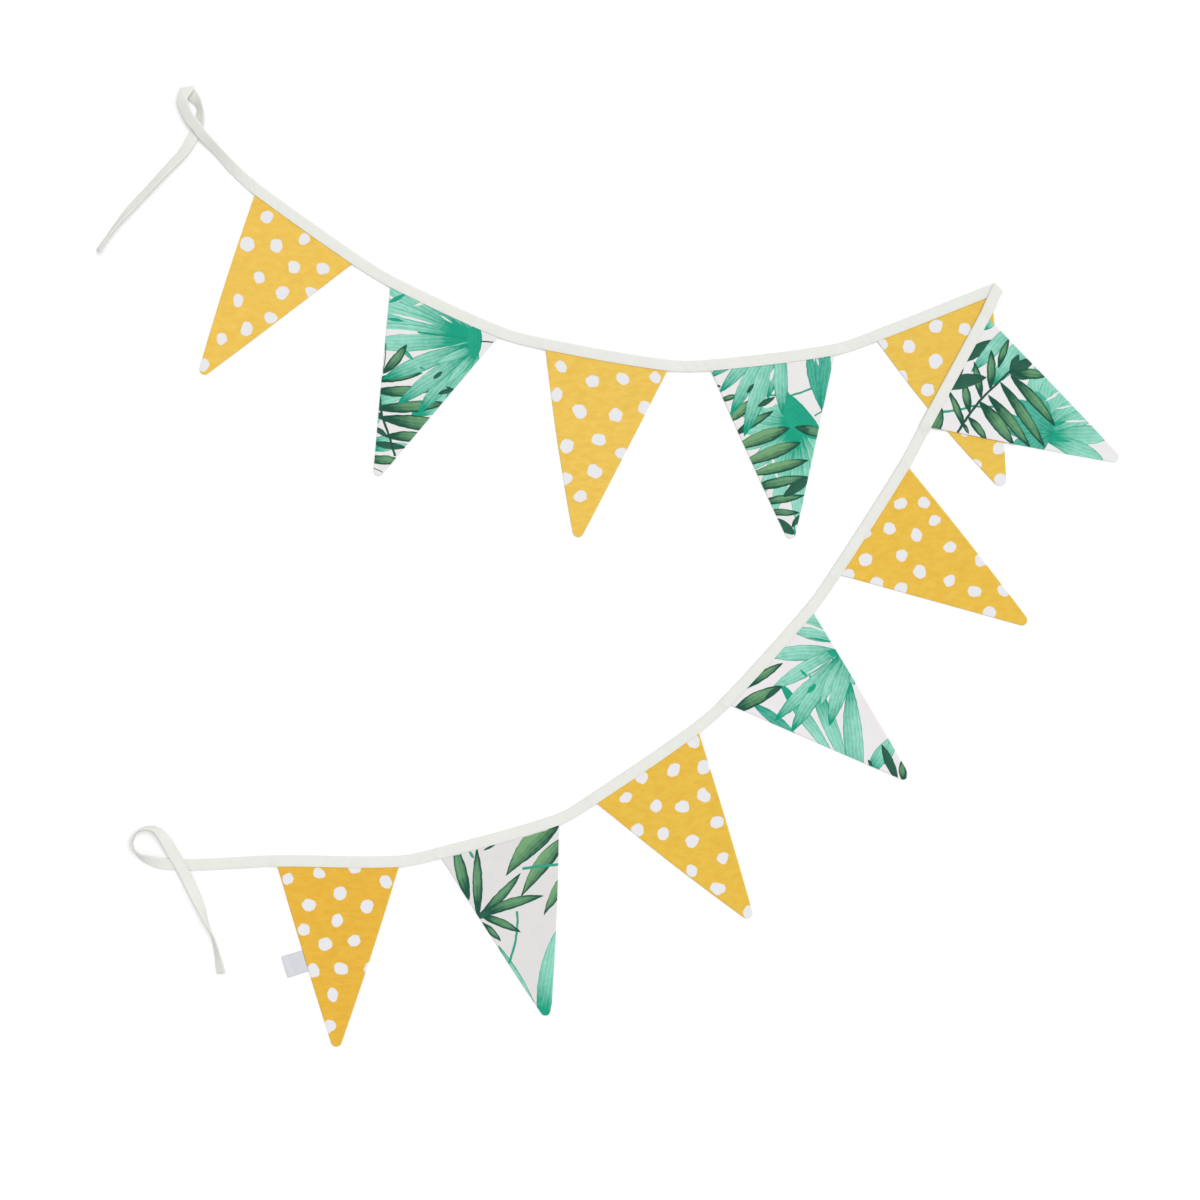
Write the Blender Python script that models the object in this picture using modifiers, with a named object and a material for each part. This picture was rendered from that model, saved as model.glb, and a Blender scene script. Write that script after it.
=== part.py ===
"""Fabric bunting laid out flat on a surface.

Eleven pointed pennants, each two layers of cotton turned right side out, sit with their
top edges in the slot of one folded binding. The binding is folded over once at the upper
right, so its lower strand lies turned over on the upper one, and each of its two ends is
a free tie that loops over itself. A small folded label stands in the side seam of the
last pennant.

All tables are in millimetres and degrees, seen from above: x to the right, y up, both
from the middle of the laid-out bunting, with the surface at height 0.
"""

import math
from collections import namedtuple

import bmesh
import bpy
import numpy as np

MM = 0.001
CLEARANCE = 0.3              # gap between pieces that lie on each other
COLLECTION = "fabric_bunting"

# Binding: a 25 mm strip folded once along its length
BINDING_WIDTH = 12.5
BINDING_WALL = 0.8
SLOT_OPEN = 1.2              # gap between its layers where it holds a pennant
SLOT_SHUT = 0.3              # and where it holds nothing
SLOT_MARGIN = 3.0            # the slot stays open this far past a pennant's corner
SLOT_CLOSING = 7.0           # and shuts over this length
BINDING_STEP = 6.0           # longest step between sections outside the pennants

# Pennant: two layers with a rounded point, pressed thin where the binding holds it
PENNANT_THICKNESS = 1.2
TUCK_THICKNESS = 0.6
TUCK_DEPTH = 9.0
TIP_RADIUS = 5.5
MOUTH_ROW = 1.0              # still at the slot's height this far below the binding
LEAVING_ROW = 5.0            # a row this far below that, where the drop to the surface begins
THICKENING = 12.0            # full thickness this far below the mouth row
LANDING = 20.0               # and down on the surface this far below it
COLUMNS = 6
BODY_ROWS = 4
DRAPED_COLUMNS = 16          # the pennant that lies over another follows its edge
DRAPED_ROWS = 22
TIP_ROWS = 3

# Where one layer lies over another
EDGE_MARGIN = 8.0            # the upper layer stays up this far past a pennant's edge
STRAND_MARGIN = 16.5         # and this far past the middle of the upper strand
EDGE_FALL = 14.0             # and comes down over this length

# Turns where the binding doubles back over itself
LOOP_RADIUS = 2.7
LOOP_BEARING = 9.4           # direction of the loop's fold line
CREASE_RADIUS = 1.55
CREASE_BEARING = 131.0
TURN_STEPS = 8

APEX_ROUNDS = 4              # rounds that settle where a pennant's straight sides meet
LEAST_SINE = 0.5             # a skewed section widens to twice its width at most
SHARP_ANGLE = 35.0
MERGE_DISTANCE = 1e-6

# Route of the binding, a row for each place where it bends, leans or carries a corner.
# lift is its lowest line above what it lies on, tilt the slope of its width with the
# folded edge going up, pennant the one that starts here and ends at the next row.
Stop = namedtuple("Stop", "x y lift tilt pennant")
UPPER_TAIL = (
    # x, y, lift, tilt, pennant
    (-565.0, 349.0, 0.0, 60.0, 0),
    (-555.0, 364.0, 0.0, 68.0, 0),
    (-545.5, 377.0, 0.0, 62.0, 0),
    (-529.0, 396.5, 0.0, 45.0, 0),
    (-506.0, 421.0, 0.0, 46.0, 0),
    (-488.0, 440.5, 0.0, 38.0, 0),
    (-472.0, 457.5, 0.0, 26.0, 0),
    (-462.0, 473.5, 0.0, 12.0, 0),
    (-455.5, 486.5, 0.0, 10.0, 0),
    (-452.6, 497.0, 0.0, 34.0, 0),
    (-452.2, 506.0, 0.0, 56.0, 0),
    (-454.6, 513.5, 0.0, 50.0, 0),
    (-459.6, 520.0, 0.0, 14.0, 0),
    (-466.5, 527.5, 0.0, 0.0, 0),
)
UPPER_STRAND = (
    (-466.5, 527.5, 5.4, 0.0, 0),
    (-471.2, 517.5, 6.0, 22.0, 0),
    (-469.2, 507.5, 6.2, 30.0, 0),
    (-462.8, 494.5, 6.2, 28.0, 0),
    (-456.0, 486.5, 5.8, 24.0, 0),
    (-451.0, 479.5, 5.0, 28.0, 0),
    (-443.0, 470.5, 3.4, 34.0, 0),
    (-433.5, 460.5, 1.6, 38.0, 0),
    (-412.0, 437.0, 0.0, 22.0, 0),
    (-388.5, 416.5, 0.0, 0.0, 1),
    (-281.0, 340.0, 0.0, 0.0, 0),
    (-239.0, 314.5, 0.0, 0.0, 2),
    (-120.5, 259.5, 0.0, 0.0, 0),
    (-68.0, 245.5, 0.0, 0.0, 3),
    (66.0, 222.5, 0.0, 0.0, 0),
    (113.5, 222.5, 0.0, 0.0, 4),
    (249.5, 239.5, 0.0, 0.0, 0),
    (296.5, 255.0, 0.0, 0.0, 5),
    (423.0, 305.0, 0.0, 0.0, 0),
    (431.6, 307.8, 0.0, 0.0, 0),
)
LOWER_STRAND = (
    (431.6, 307.8, 0.0, 0.0, 0),
    (425.5, 294.5, 0.0, 0.0, 0),
    (417.0, 276.0, 0.0, 0.0, 6),
    (352.5, 156.5, 0.0, 0.0, 0),
    (328.5, 111.5, 0.0, 0.0, 7),
    (253.0, -7.0, 0.0, 0.0, 0),
    (223.0, -49.0, 0.0, 0.0, 8),
    (131.5, -150.5, 0.0, 0.0, 0),
    (97.0, -181.0, 0.0, 0.0, 9),
    (-16.0, -258.5, 0.0, 0.0, 0),
    (-57.0, -282.0, 0.0, 0.0, 10),
    (-186.5, -318.5, 0.0, 0.0, 0),
    (-233.0, -328.0, 0.0, 0.0, 11),
    (-367.0, -327.5, 0.0, 0.0, 0),
    (-420.0, -330.0, 0.0, 0.0, 0),
    (-464.0, -332.0, 0.0, 0.0, 0),
    (-488.0, -331.0, 0.0, 1.0, 0),
    (-496.0, -330.0, 0.0, 12.0, 0),
    (-508.5, -326.5, 0.0, 34.0, 0),
    (-519.0, -321.5, 0.0, 62.0, 0),
    (-525.0, -315.0, 0.0, 80.0, 0),
    (-528.0, -307.5, 0.0, 88.0, 0),
    (-525.5, -299.0, 0.0, 90.0, 0),
    (-518.0, -292.0, 0.0, 88.0, 0),
    (-509.0, -290.5, 0.0, 80.0, 0),
    (-501.0, -292.5, 0.4, 66.0, 0),
    (-492.0, -302.0, 1.6, 38.0, 0),
    (-484.5, -315.5, 2.9, 6.0, 0),
    (-475.5, -331.0, 3.0, 0.0, 0),
    (-467.5, -345.5, 2.8, 6.0, 0),
    (-456.5, -367.5, 0.6, 36.0, 0),
    (-450.0, -382.0, 0.0, 60.0, 0),
    (-444.5, -396.5, 0.0, 86.0, 0),
    (-438.5, -410.0, 0.0, 105.0, 0),
    (-434.0, -426.5, 0.0, 120.0, 0),
    (-429.0, -451.5, 0.0, 147.0, 0),
)

# Each pennant's drop from the binding to its rounded tip, how far the tip has swung
# towards the pennant's later corner along the route, and how far each side bulges
PENNANTS = {
    # number: (drop, swing, bulge of the earlier side, bulge of the later side)
    1: (195.5, 1.0, 2.0, 0.5),
    2: (195.5, 9.0, 0.5, 0.0),
    3: (198.5, 1.5, 2.5, 0.5),
    4: (195.5, -4.0, 1.0, 0.5),
    5: (199.5, 2.5, 5.0, 2.0),
    6: (199.5, 0.5, 1.0, 1.0),
    7: (202.0, 5.0, 1.5, 0.0),
    8: (199.0, -2.5, 1.0, 0.0),
    9: (200.5, 0.0, 1.0, 2.0),
    10: (199.5, 2.5, 2.0, 1.0),
    11: (199.5, 1.5, 1.5, 1.0),
}
DRAPED_PENNANT = 6           # lies over the one below
COVERED_PENNANT = 5

# Label: a ribbon folded once, its ends in the last pennant's side seam
LABEL_PENNANT = 11
LABEL_WIDTH = 24.0           # along the seam
LABEL_REACH = 23.7           # out from the seam
LABEL_PLACE = 109.0          # its middle, down the side from the binding
LABEL_WALL = 0.5

MUSTARD = (0.85, 0.50, 0.10)
PRINT_GREEN = (0.45, 0.72, 0.60)
OFF_WHITE = (0.82, 0.83, 0.79)
PALE_RIBBON = (0.80, 0.80, 0.86)
CLOTH_ROUGHNESS = 0.9


class Section:
    """One cross-section of the binding: its middle, width direction, face and slot."""

    def __init__(self, middle, across, face, stretch, slot):
        self.middle = middle        # middle of the folded binding
        self.across = across        # unit vector towards the folded edge
        self.face = face            # unit vector out of its front
        self.stretch = stretch      # widening of a section that isn't square to the run
        self.slot = slot            # gap between the two layers

    def half_width(self):
        return 0.5 * BINDING_WIDTH * self.stretch

    def mouth(self):
        """Middle of the open edge."""
        return self.middle - self.across * self.half_width()


def unit(vector):
    return vector / np.linalg.norm(vector)


def ease(fraction):
    """Smooth step from 0 to 1."""
    held = min(max(fraction, 0.0), 1.0)
    return held * held * (3.0 - 2.0 * held)


def bearing_turn(start, end):
    """The shorter way round from one bearing to another, in degrees."""
    return (end - start + 180.0) % 360.0 - 180.0


def bearing_vector(degrees):
    return np.array((math.cos(math.radians(degrees)), math.sin(math.radians(degrees)), 0.0))


def distance_to_segment(point, start, end):
    run = end - start
    fraction = min(max(float(np.dot(point - start, run) / np.dot(run, run)), 0.0), 1.0)
    return float(np.linalg.norm(point - start - run * fraction))


def distance_to_triangle(point, corners):
    """0 inside the triangle, else the distance to its nearest side."""
    sides = []
    for start, end in zip(corners, corners[1:] + corners[:1]):
        run = end - start
        offset = point - start
        sides.append(run[0] * offset[1] - run[1] * offset[0])
    if min(sides) >= 0.0 or max(sides) <= 0.0:
        return 0.0
    return min(distance_to_segment(point, start, end)
               for start, end in zip(corners, corners[1:] + corners[:1]))


def smooth_path(rows, steps):
    """Positions along a curve through the rows, with each row's own direction.

    The direction at a row is that of the line between its two neighbours, so long
    straight stretches stay straight and the bends fall in the short ones.
    """
    places = np.array([(row.x, row.y) for row in rows])
    directions = [unit(places[1] - places[0])]
    for before, after in zip(places[:-2], places[2:]):
        directions.append(unit(after - before))
    directions.append(unit(places[-1] - places[-2]))
    path = []
    for index, count in enumerate(steps):
        start, end = places[index], places[index + 1]
        length = np.linalg.norm(end - start)
        last = index == len(steps) - 1
        for step in range(count + 1 if last else count):
            f = step / count
            position = ((2 * f**3 - 3 * f**2 + 1) * start + (3 * f**2 - 2 * f**3) * end
                        + (f**3 - 2 * f**2 + f) * length * directions[index]
                        + (f**3 - f**2) * length * directions[index + 1])
            slope = ((6 * f**2 - 6 * f) * (start - end) / length
                     + (3 * f**2 - 4 * f + 1) * directions[index]
                     + (3 * f**2 - 2 * f) * directions[index + 1])
            path.append((index + f, position, unit(slope)))
    return path


def interval_steps(rows):
    """How many sections each stretch of the route takes."""
    steps = []
    for row, following in zip(rows[:-1], rows[1:]):
        if row.pennant == DRAPED_PENNANT:
            steps.append(DRAPED_COLUMNS)
        elif row.pennant:
            steps.append(COLUMNS)
        else:
            length = math.hypot(following.x - row.x, following.y - row.y)
            steps.append(max(1, math.ceil(length / BINDING_STEP)))
    return steps


def slot_gap(place, held_stretches):
    """The slot's gap at a distance along the run, open along each pennant."""
    if not held_stretches:
        return SLOT_SHUT
    beyond = min(max(start - place, place - end, 0.0) for start, end in held_stretches)
    shut = ease((beyond - SLOT_MARGIN) / SLOT_CLOSING)
    return SLOT_OPEN + (SLOT_SHUT - SLOT_OPEN) * shut


def lay_run(rows, side, first_bearing=None, last_bearing=None, support=None):
    """Sections of one run, and for each pennant the sections that hold it.

    side is 1 with the front up and the folded edge left of the run, -1 turned over.
    A run that starts or ends at a fold has its width turned to the fold's bearing there.
    """
    rows = [Stop(*row) for row in rows]
    steps = interval_steps(rows)
    path = smooth_path(rows, steps)
    row_places = [row_place for row_place, _, _ in path]
    positions = np.array([position for _, position, _ in path])
    hops = np.linalg.norm(np.diff(positions, axis=0), axis=1)
    lengths = np.concatenate(([0.0], np.cumsum(hops)))
    starts = np.concatenate(([0], np.cumsum(steps)))
    spans = {row.pennant: (starts[i], starts[i + 1]) for i, row in enumerate(rows[:-1]) if row.pennant}
    held = [(lengths[first], lengths[last]) for first, last in spans.values()]

    squares = np.array([math.degrees(math.atan2(slope[1], slope[0])) for _, _, slope in path]) + 90.0 * side
    skews = np.zeros(len(path))
    end = len(rows) - 1.0
    if first_bearing is not None:
        share = np.interp(row_places, (0.0, 1.0), (1.0, 0.0))
        skews += bearing_turn(squares[0], first_bearing) * share
    if last_bearing is not None:
        share = np.interp(row_places, (end - 1.0, end), (0.0, 1.0))
        skews += bearing_turn(squares[-1], last_bearing) * share
    lifts = np.interp(row_places, range(len(rows)), [row.lift for row in rows])
    tilts = np.radians(np.interp(row_places, range(len(rows)), [row.tilt for row in rows]))
    slots = [slot_gap(length, held) for length in lengths]

    sections = []
    for (_, position, slope), bearing, lift, tilt, slot in zip(path, squares + skews, lifts, tilts, slots):
        half_thickness = BINDING_WALL + 0.5 * slot
        height = (lift + abs(math.sin(tilt)) * 0.5 * BINDING_WIDTH
                  + abs(math.cos(tilt)) * half_thickness)
        if support:
            height += support(position, 0.5 * BINDING_WIDTH)
        middle = np.array((position[0], position[1], height))
        across = math.cos(tilt) * bearing_vector(bearing) + np.array((0.0, 0.0, math.sin(tilt)))
        run = np.array((slope[0], slope[1], 0.0))
        face = np.cross(run, across)
        stretch = 1.0 / max(LEAST_SINE, float(np.linalg.norm(face)))
        sections.append(Section(middle, across, unit(face), stretch, slot))

    holders = {number: sections[first:last + 1] for number, (first, last) in spans.items()}
    return sections, holders


def turn_over(last, side, radius):
    """Sections of a half turn that carries the binding up and back over itself."""
    outward = np.array((last.across[1], -last.across[0], 0.0)) * side
    up = np.array((0.0, 0.0, 1.0))
    sections = []
    for step in range(1, TURN_STEPS):
        angle = math.pi * step / TURN_STEPS
        middle = last.middle + radius * (outward * math.sin(angle) + up * (1.0 - math.cos(angle)))
        face = side * (up * math.cos(angle) - outward * math.sin(angle))
        sections.append(Section(middle, last.across, face, last.stretch, SLOT_SHUT))
    return sections


def shell_object(name, grid, wall, material, thin=None):
    """A closed solid from an open grid of points, thickened evenly on both sides.

    thin maps each grid point to the share of the wall that it keeps.
    """
    bm = bmesh.new()
    layer = bm.verts.layers.deform.new() if thin else None
    verts = [[bm.verts.new(np.array(point) * MM) for point in row] for row in grid]
    for lower, upper in zip(verts[:-1], verts[1:]):
        for column, corners in enumerate(zip(lower[:-1], lower[1:], upper[1:], upper[:-1])):
            # mirrored starts keep the two layers of a fold parallel where they twist
            start = 0 if column < (len(lower) - 1) / 2 else 1
            bm.faces.new(corners[start:] + corners[:start])
    if thin:
        lowest = min(min(row) for row in thin)
        for row, shares in zip(verts, thin):
            for vert, share in zip(row, shares):
                vert[layer][0] = (share - lowest) / (1.0 - lowest)
    bmesh.ops.remove_doubles(bm, verts=bm.verts, dist=MERGE_DISTANCE)
    mesh = bpy.data.meshes.new(name)
    bm.to_mesh(mesh)
    bm.free()
    mesh.materials.append(material)
    mesh.shade_smooth()
    mesh.set_sharp_from_angle(angle=math.radians(SHARP_ANGLE))
    piece = bpy.data.objects.new(name, mesh)
    bpy.data.collections[COLLECTION].objects.link(piece)

    solidify = piece.modifiers.new("Layers", "SOLIDIFY")
    solidify.thickness = wall * MM
    solidify.offset = 0.0
    solidify.use_even_offset = True
    if thin:
        piece.vertex_groups.new(name="full_thickness")
        solidify.vertex_group = "full_thickness"
        solidify.thickness_vertex_group = lowest
    return piece


def fold_profile(section, wall, width):
    """Mid-line of a strip folded in two: the open edges on one side, the fold opposite."""
    level = 0.5 * (section.slot + wall)
    fold = 0.5 * width - 0.5 * wall
    outline = ((-0.5 * width, -level), (fold - level, -level), (fold, 0.0),
               (fold - level, level), (-0.5 * width, level))
    return [section.middle + section.across * a * section.stretch + section.face * b
            for a, b in outline]


def make_binding(sections):
    grid = [fold_profile(section, BINDING_WALL, BINDING_WIDTH) for section in sections]
    material = cloth_material("binding_cotton", OFF_WHITE)
    return shell_object("binding_tape", grid, BINDING_WALL, material)


def side_bulge(number, across, fraction):
    """Sideways shift at a place across (-1 to 1) and down (0 to 1) a pennant."""
    _, _, earlier, later = PENNANTS[number]
    profile = 4.0 * fraction * (1.0 - fraction)
    return profile * (later * (1.0 + across) - earlier * (1.0 - across)) / 2.0


def pennant_plan(number, holders):
    """Middle of a pennant's top edge, its corners, and the point where its sides meet."""
    drop, swing, _, _ = PENNANTS[number]
    first = holders[0].mouth()
    last = holders[-1].mouth()
    along = unit((last - first) * (1.0, 1.0, 0.0))
    down = np.array((along[1], -along[0], 0.0))
    if np.dot(down, holders[0].across) > 0.0:
        down = -down
    middle = 0.5 * (first + last)
    half_width = 0.5 * np.linalg.norm((last - first)[:2])
    # the sharp point lies past the rounded tip by the radius times (1 / sin - 1)
    sharp = drop
    for _ in range(APEX_ROUNDS):
        half_angle = math.atan(half_width / sharp)
        sharp = drop + TIP_RADIUS * (1.0 / math.sin(half_angle) - 1.0)
    apex = middle + along * swing + down * sharp
    apex[2] = 0.0
    return middle, first, last, apex, sharp, half_width


def pennant_rows(body_rows, drop, sharp, half_width):
    """Distances of the rows below the binding, closer at the binding and at the tip."""
    half_angle = math.atan(half_width / sharp)
    centre = drop - TIP_RADIUS
    tangent = centre + TIP_RADIUS * math.sin(half_angle)
    landed = MOUTH_ROW + LANDING
    rows = [MOUTH_ROW, MOUTH_ROW + LEAVING_ROW, MOUTH_ROW + THICKENING]
    rows += list(np.linspace(landed, tangent, body_rows + 1))
    for step in range(1, TIP_ROWS + 1):
        angle = half_angle + (0.5 * math.pi - half_angle) * step / TIP_ROWS
        rows.append(centre + TIP_RADIUS * math.sin(angle))
    return rows, centre, tangent


def make_pennant(number, holders, material, support=None):
    """A pennant: rows of points from the slot of the binding down to the rounded tip."""
    middle, first, last, apex, sharp, half_width = pennant_plan(number, holders)
    along = unit((last - first) * (1.0, 1.0, 0.0))
    drop = PENNANTS[number][0]
    body_rows = DRAPED_ROWS if number == DRAPED_PENNANT else BODY_ROWS
    rows, centre, tangent = pennant_rows(body_rows, drop, sharp, half_width)

    tucked = [section.mouth() + section.across * TUCK_DEPTH * section.stretch for section in holders]
    grid = [tucked]
    thin_share = TUCK_THICKNESS / PENNANT_THICKNESS
    shares = [[thin_share] * len(holders)]
    for row in rows:
        fraction = row / sharp
        narrowing = 1.0
        if row > tangent:
            half_chord = math.sqrt(max(TIP_RADIUS**2 - (row - centre)**2, 0.0))
            narrowing = half_chord / (half_width * (1.0 - fraction))
        spine = middle * (1.0 - fraction) + apex * fraction
        landing = ease((row - MOUTH_ROW) / LANDING)
        line = []
        for across, section in zip(np.linspace(-1.0, 1.0, len(holders)), holders):
            mouth = section.mouth()
            point = mouth * (1.0 - fraction) + apex * fraction
            point += along * side_bulge(number, across, fraction)
            point = spine + (point - spine) * narrowing
            rest = 0.5 * PENNANT_THICKNESS
            if support:
                rest += support(point[:2], 0.0)
            point[2] = mouth[2] * (1.0 - landing) + rest * landing
            line.append(point)
        grid.append(line)
        share = thin_share + (1.0 - thin_share) * min((row - MOUTH_ROW) / THICKENING, 1.0)
        shares.append([share] * len(holders))
    return shell_object(f"pennant_{number:02d}", grid, PENNANT_THICKNESS, material, shares)


def cover_support(covered_corners, strand_start, strand_end):
    """Height of what lies under a place: the covered pennant, and the upper strand."""
    corners = [corner[:2] for corner in covered_corners]
    pennant_height = PENNANT_THICKNESS + CLEARANCE
    strand_height = SLOT_OPEN + 2.0 * BINDING_WALL + CLEARANCE

    def support(place, half_width):
        off_pennant = distance_to_triangle(place, corners) - half_width - EDGE_MARGIN
        off_strand = distance_to_segment(place, strand_start[:2], strand_end[:2]) - STRAND_MARGIN
        return max(pennant_height * (1.0 - ease(off_pennant / EDGE_FALL)),
                   strand_height * (1.0 - ease(off_strand / EDGE_FALL)))

    return support


def make_label(holders):
    """A ribbon folded in two, standing out of the pennant's side seam."""
    _, _, corner, apex, sharp, _ = pennant_plan(LABEL_PENNANT, holders)
    down = unit((apex - corner) * (1.0, 1.0, 0.0))
    outward = np.array((down[1], -down[0], 0.0))
    if np.dot(outward, corner - holders[0].mouth()) < 0.0:
        outward = -outward
    seam = corner * (1.0, 1.0, 0.0) + down * LABEL_PLACE
    height = LABEL_WALL + 0.5 * SLOT_SHUT
    gap = CLEARANCE + side_bulge(LABEL_PENNANT, 1.0, LABEL_PLACE / sharp)
    middle = seam + outward * (gap + 0.5 * LABEL_REACH) + np.array((0.0, 0.0, height))
    grid = []
    for place in (-0.5, 0.0, 0.5):
        section = Section(middle + down * place * LABEL_WIDTH, outward, np.array((0.0, 0.0, 1.0)),
                          1.0, SLOT_SHUT)
        grid.append(fold_profile(section, LABEL_WALL, LABEL_REACH))
    material = cloth_material("label_ribbon", PALE_RIBBON)
    return shell_object("side_label", grid, LABEL_WALL, material)


def cloth_material(name, colour):
    material = bpy.data.materials.new(name)
    material.diffuse_color = (*colour, 1.0)
    material.use_nodes = True
    shader = material.node_tree.nodes["Principled BSDF"]
    shader.inputs["Base Color"].default_value = (*colour, 1.0)
    shader.inputs["Roughness"].default_value = CLOTH_ROUGHNESS
    shader.inputs["Metallic"].default_value = 0.0
    return material


def clear_scene():
    for item in list(bpy.data.objects):
        bpy.data.objects.remove(item, do_unlink=True)


def build_bunting():
    tail, _ = lay_run(UPPER_TAIL, -1, last_bearing=LOOP_BEARING)
    upper, upper_holders = lay_run(UPPER_STRAND, 1, first_bearing=LOOP_BEARING,
                                   last_bearing=CREASE_BEARING)
    _, first, last, apex, _, _ = pennant_plan(COVERED_PENNANT, upper_holders[COVERED_PENNANT])
    strand_start = upper_holders[COVERED_PENNANT][0].middle
    support = cover_support([first, last, apex], strand_start, upper[-1].middle)
    lower, lower_holders = lay_run(LOWER_STRAND, -1, first_bearing=CREASE_BEARING, support=support)

    make_binding(tail + turn_over(tail[-1], -1, LOOP_RADIUS) + upper
                 + turn_over(upper[-1], 1, CREASE_RADIUS) + lower)

    dotted = cloth_material("mustard_dot_cotton", MUSTARD)
    leafy = cloth_material("leaf_print_cotton", PRINT_GREEN)
    for number, holders in sorted({**upper_holders, **lower_holders}.items()):
        material = dotted if number % 2 else leafy
        make_pennant(number, holders, material, support if number == DRAPED_PENNANT else None)
    make_label(lower_holders[LABEL_PENNANT])


clear_scene()
bpy.context.scene.collection.children.link(bpy.data.collections.new(COLLECTION))
build_bunting()
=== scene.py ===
import bmesh
import bpy
import numpy as np
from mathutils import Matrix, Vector


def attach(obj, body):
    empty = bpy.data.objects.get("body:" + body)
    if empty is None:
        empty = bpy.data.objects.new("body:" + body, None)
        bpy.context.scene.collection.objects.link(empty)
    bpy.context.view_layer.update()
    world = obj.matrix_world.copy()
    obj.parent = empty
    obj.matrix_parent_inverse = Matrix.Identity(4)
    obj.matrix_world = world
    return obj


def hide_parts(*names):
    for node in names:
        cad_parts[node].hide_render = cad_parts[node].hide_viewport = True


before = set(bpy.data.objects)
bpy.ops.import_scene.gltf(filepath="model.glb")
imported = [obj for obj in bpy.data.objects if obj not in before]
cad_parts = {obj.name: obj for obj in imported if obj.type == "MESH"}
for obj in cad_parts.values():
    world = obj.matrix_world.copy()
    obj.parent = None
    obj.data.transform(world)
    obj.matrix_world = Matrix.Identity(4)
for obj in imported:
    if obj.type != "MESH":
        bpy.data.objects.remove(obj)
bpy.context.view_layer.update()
body = "root"
mm = 0.001
lowest = 0.02           # no cloth comes nearer to the floor than this, in millimetres
print("frame loaded with the nodes", ", ".join(sorted(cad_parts)))

# Plan places are in millimetres from the middle of the laid-out bunting, x right and y up.
photo = {"pixel": 1.11, "middle": (608.3, 565.8), "size": 1200}


def unit(vectors):
    return vectors / np.linalg.norm(vectors, axis=-1, keepdims=True)


def ease(fraction):
    # 3f^2 - 2f^3 with f held between 0 and 1
    held = np.clip(fraction, 0.0, 1.0)
    return held * held * (3.0 - 2.0 * held)


def ripple(x, y, size, seed, waves=7):
    # sum of sines in evenly turned directions, each with its own phase and a length near size
    draw = np.random.default_rng(seed)
    total = np.zeros(np.broadcast(x, y).shape)
    for wave in range(waves):
        turn = np.pi * (wave + draw.random()) / waves
        length = size * draw.uniform(0.7, 1.5)
        total += np.sin(2 * np.pi * (x * np.cos(turn) + y * np.sin(turn)) / length
                        + draw.uniform(0, 2 * np.pi))
    return total / np.sqrt(waves)


def lengthAlong(places):
    hops = np.linalg.norm(np.diff(places, axis=0), axis=1)
    return np.concatenate(([0.0], np.cumsum(hops)))


def readAt(wanted, knots, values):
    # each column of values, read at the wanted places between its knots
    return np.stack([np.interp(wanted, knots, column) for column in values.T], axis=-1)


def linked(name, data):
    made = bpy.data.objects.new(name, data)
    bpy.context.scene.collection.objects.link(made)
    return made


def gridMesh(name, points, uv, material, capped=False):
    # faces between neighbouring rows and columns of a grid whose last column joins the first, and
    # over its ends; uv has one column more than points, so that the map has no smear
    rows, columns = points.shape[:2]
    index = np.arange(rows * columns).reshape(rows, columns)
    beside = np.roll(index, -1, axis=1)
    quads = np.stack((index[:-1], beside[:-1], beside[1:], index[1:]), axis=-1)
    corners = np.stack((uv[:-1, :-1], uv[:-1, 1:], uv[1:, 1:], uv[1:, :-1]), axis=2)
    flat = points.reshape(-1, 3)
    a, b, c, d = (flat[quads[..., k]] for k in range(4))
    inward = (a * np.cross(b, c) + a * np.cross(c, d)).sum() < 0
    if inward:
        quads, corners = quads[..., ::-1], corners[:, :, ::-1]
    places = corners.reshape(-1, 2)
    ends = []
    if capped:
        ends = [index[0][::1 if inward else -1].tolist(), index[-1][::-1 if inward else 1].tolist()]
        places = np.concatenate((places, uv[0, :-1], uv[-1, :-1]))
    mesh = bpy.data.meshes.new(name)
    mesh.from_pydata((flat * mm).tolist(), [], quads.reshape(-1, 4).tolist() + ends)
    mesh.uv_layers.new(name="cloth").data.foreach_set("uv", (places * mm).reshape(-1))
    bm = bmesh.new()
    bm.from_mesh(mesh)
    bmesh.ops.remove_doubles(bm, verts=bm.verts, dist=2e-6)
    bmesh.ops.dissolve_degenerate(bm, edges=bm.edges, dist=1e-7)
    if not capped:
        bmesh.ops.holes_fill(bm, edges=[e for e in bm.edges if e.is_boundary])
    bm.to_mesh(mesh)
    bm.free()
    mesh.validate()
    mesh.shade_smooth()
    mesh.materials.append(material)
    piece = linked(name, mesh)
    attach(piece, body)
    return piece


def setInput(tree, socket, value):
    # a link from another node's socket, or a plain value, with 1 added as a colour's alpha
    if isinstance(value, bpy.types.NodeSocket):
        tree.links.new(value, socket)
    elif value is not None:
        socket.default_value = (*value, 1.0) if socket.type == "RGBA" else value


def addNode(tree, kind, *inputs, out=0, **settings):
    made = tree.nodes.new("ShaderNode" + kind)
    for name, value in settings.items():
        setattr(made, name, value)
    for socket, value in zip(made.inputs, inputs):
        setInput(tree, socket, value)
    return made.outputs[out]


def calc(tree, operation, *values):
    return addNode(tree, "Math", *values, operation=operation)


def vecCalc(tree, operation, *values, out=0):
    return addNode(tree, "VectorMath", *values, operation=operation, out=out)


def between(tree, value, low, high, outLow=0.0, outHigh=1.0):
    return addNode(tree, "MapRange", value, low, high, outLow, outHigh,
                   interpolation_type="SMOOTHSTEP")


def noiseAt(tree, place, scale, detail, rough=0.5, out=0):
    return addNode(tree, "TexNoise", place, None, scale, detail, rough, out=out)


def blendColour(tree, factor, first, second):
    made = tree.nodes.new("ShaderNodeMix")
    made.data_type = "RGBA"
    for slot, value in ((0, factor), (6, first), (7, second)):
        setInput(tree, made.inputs[slot], value)
    return made.outputs[2]


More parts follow.
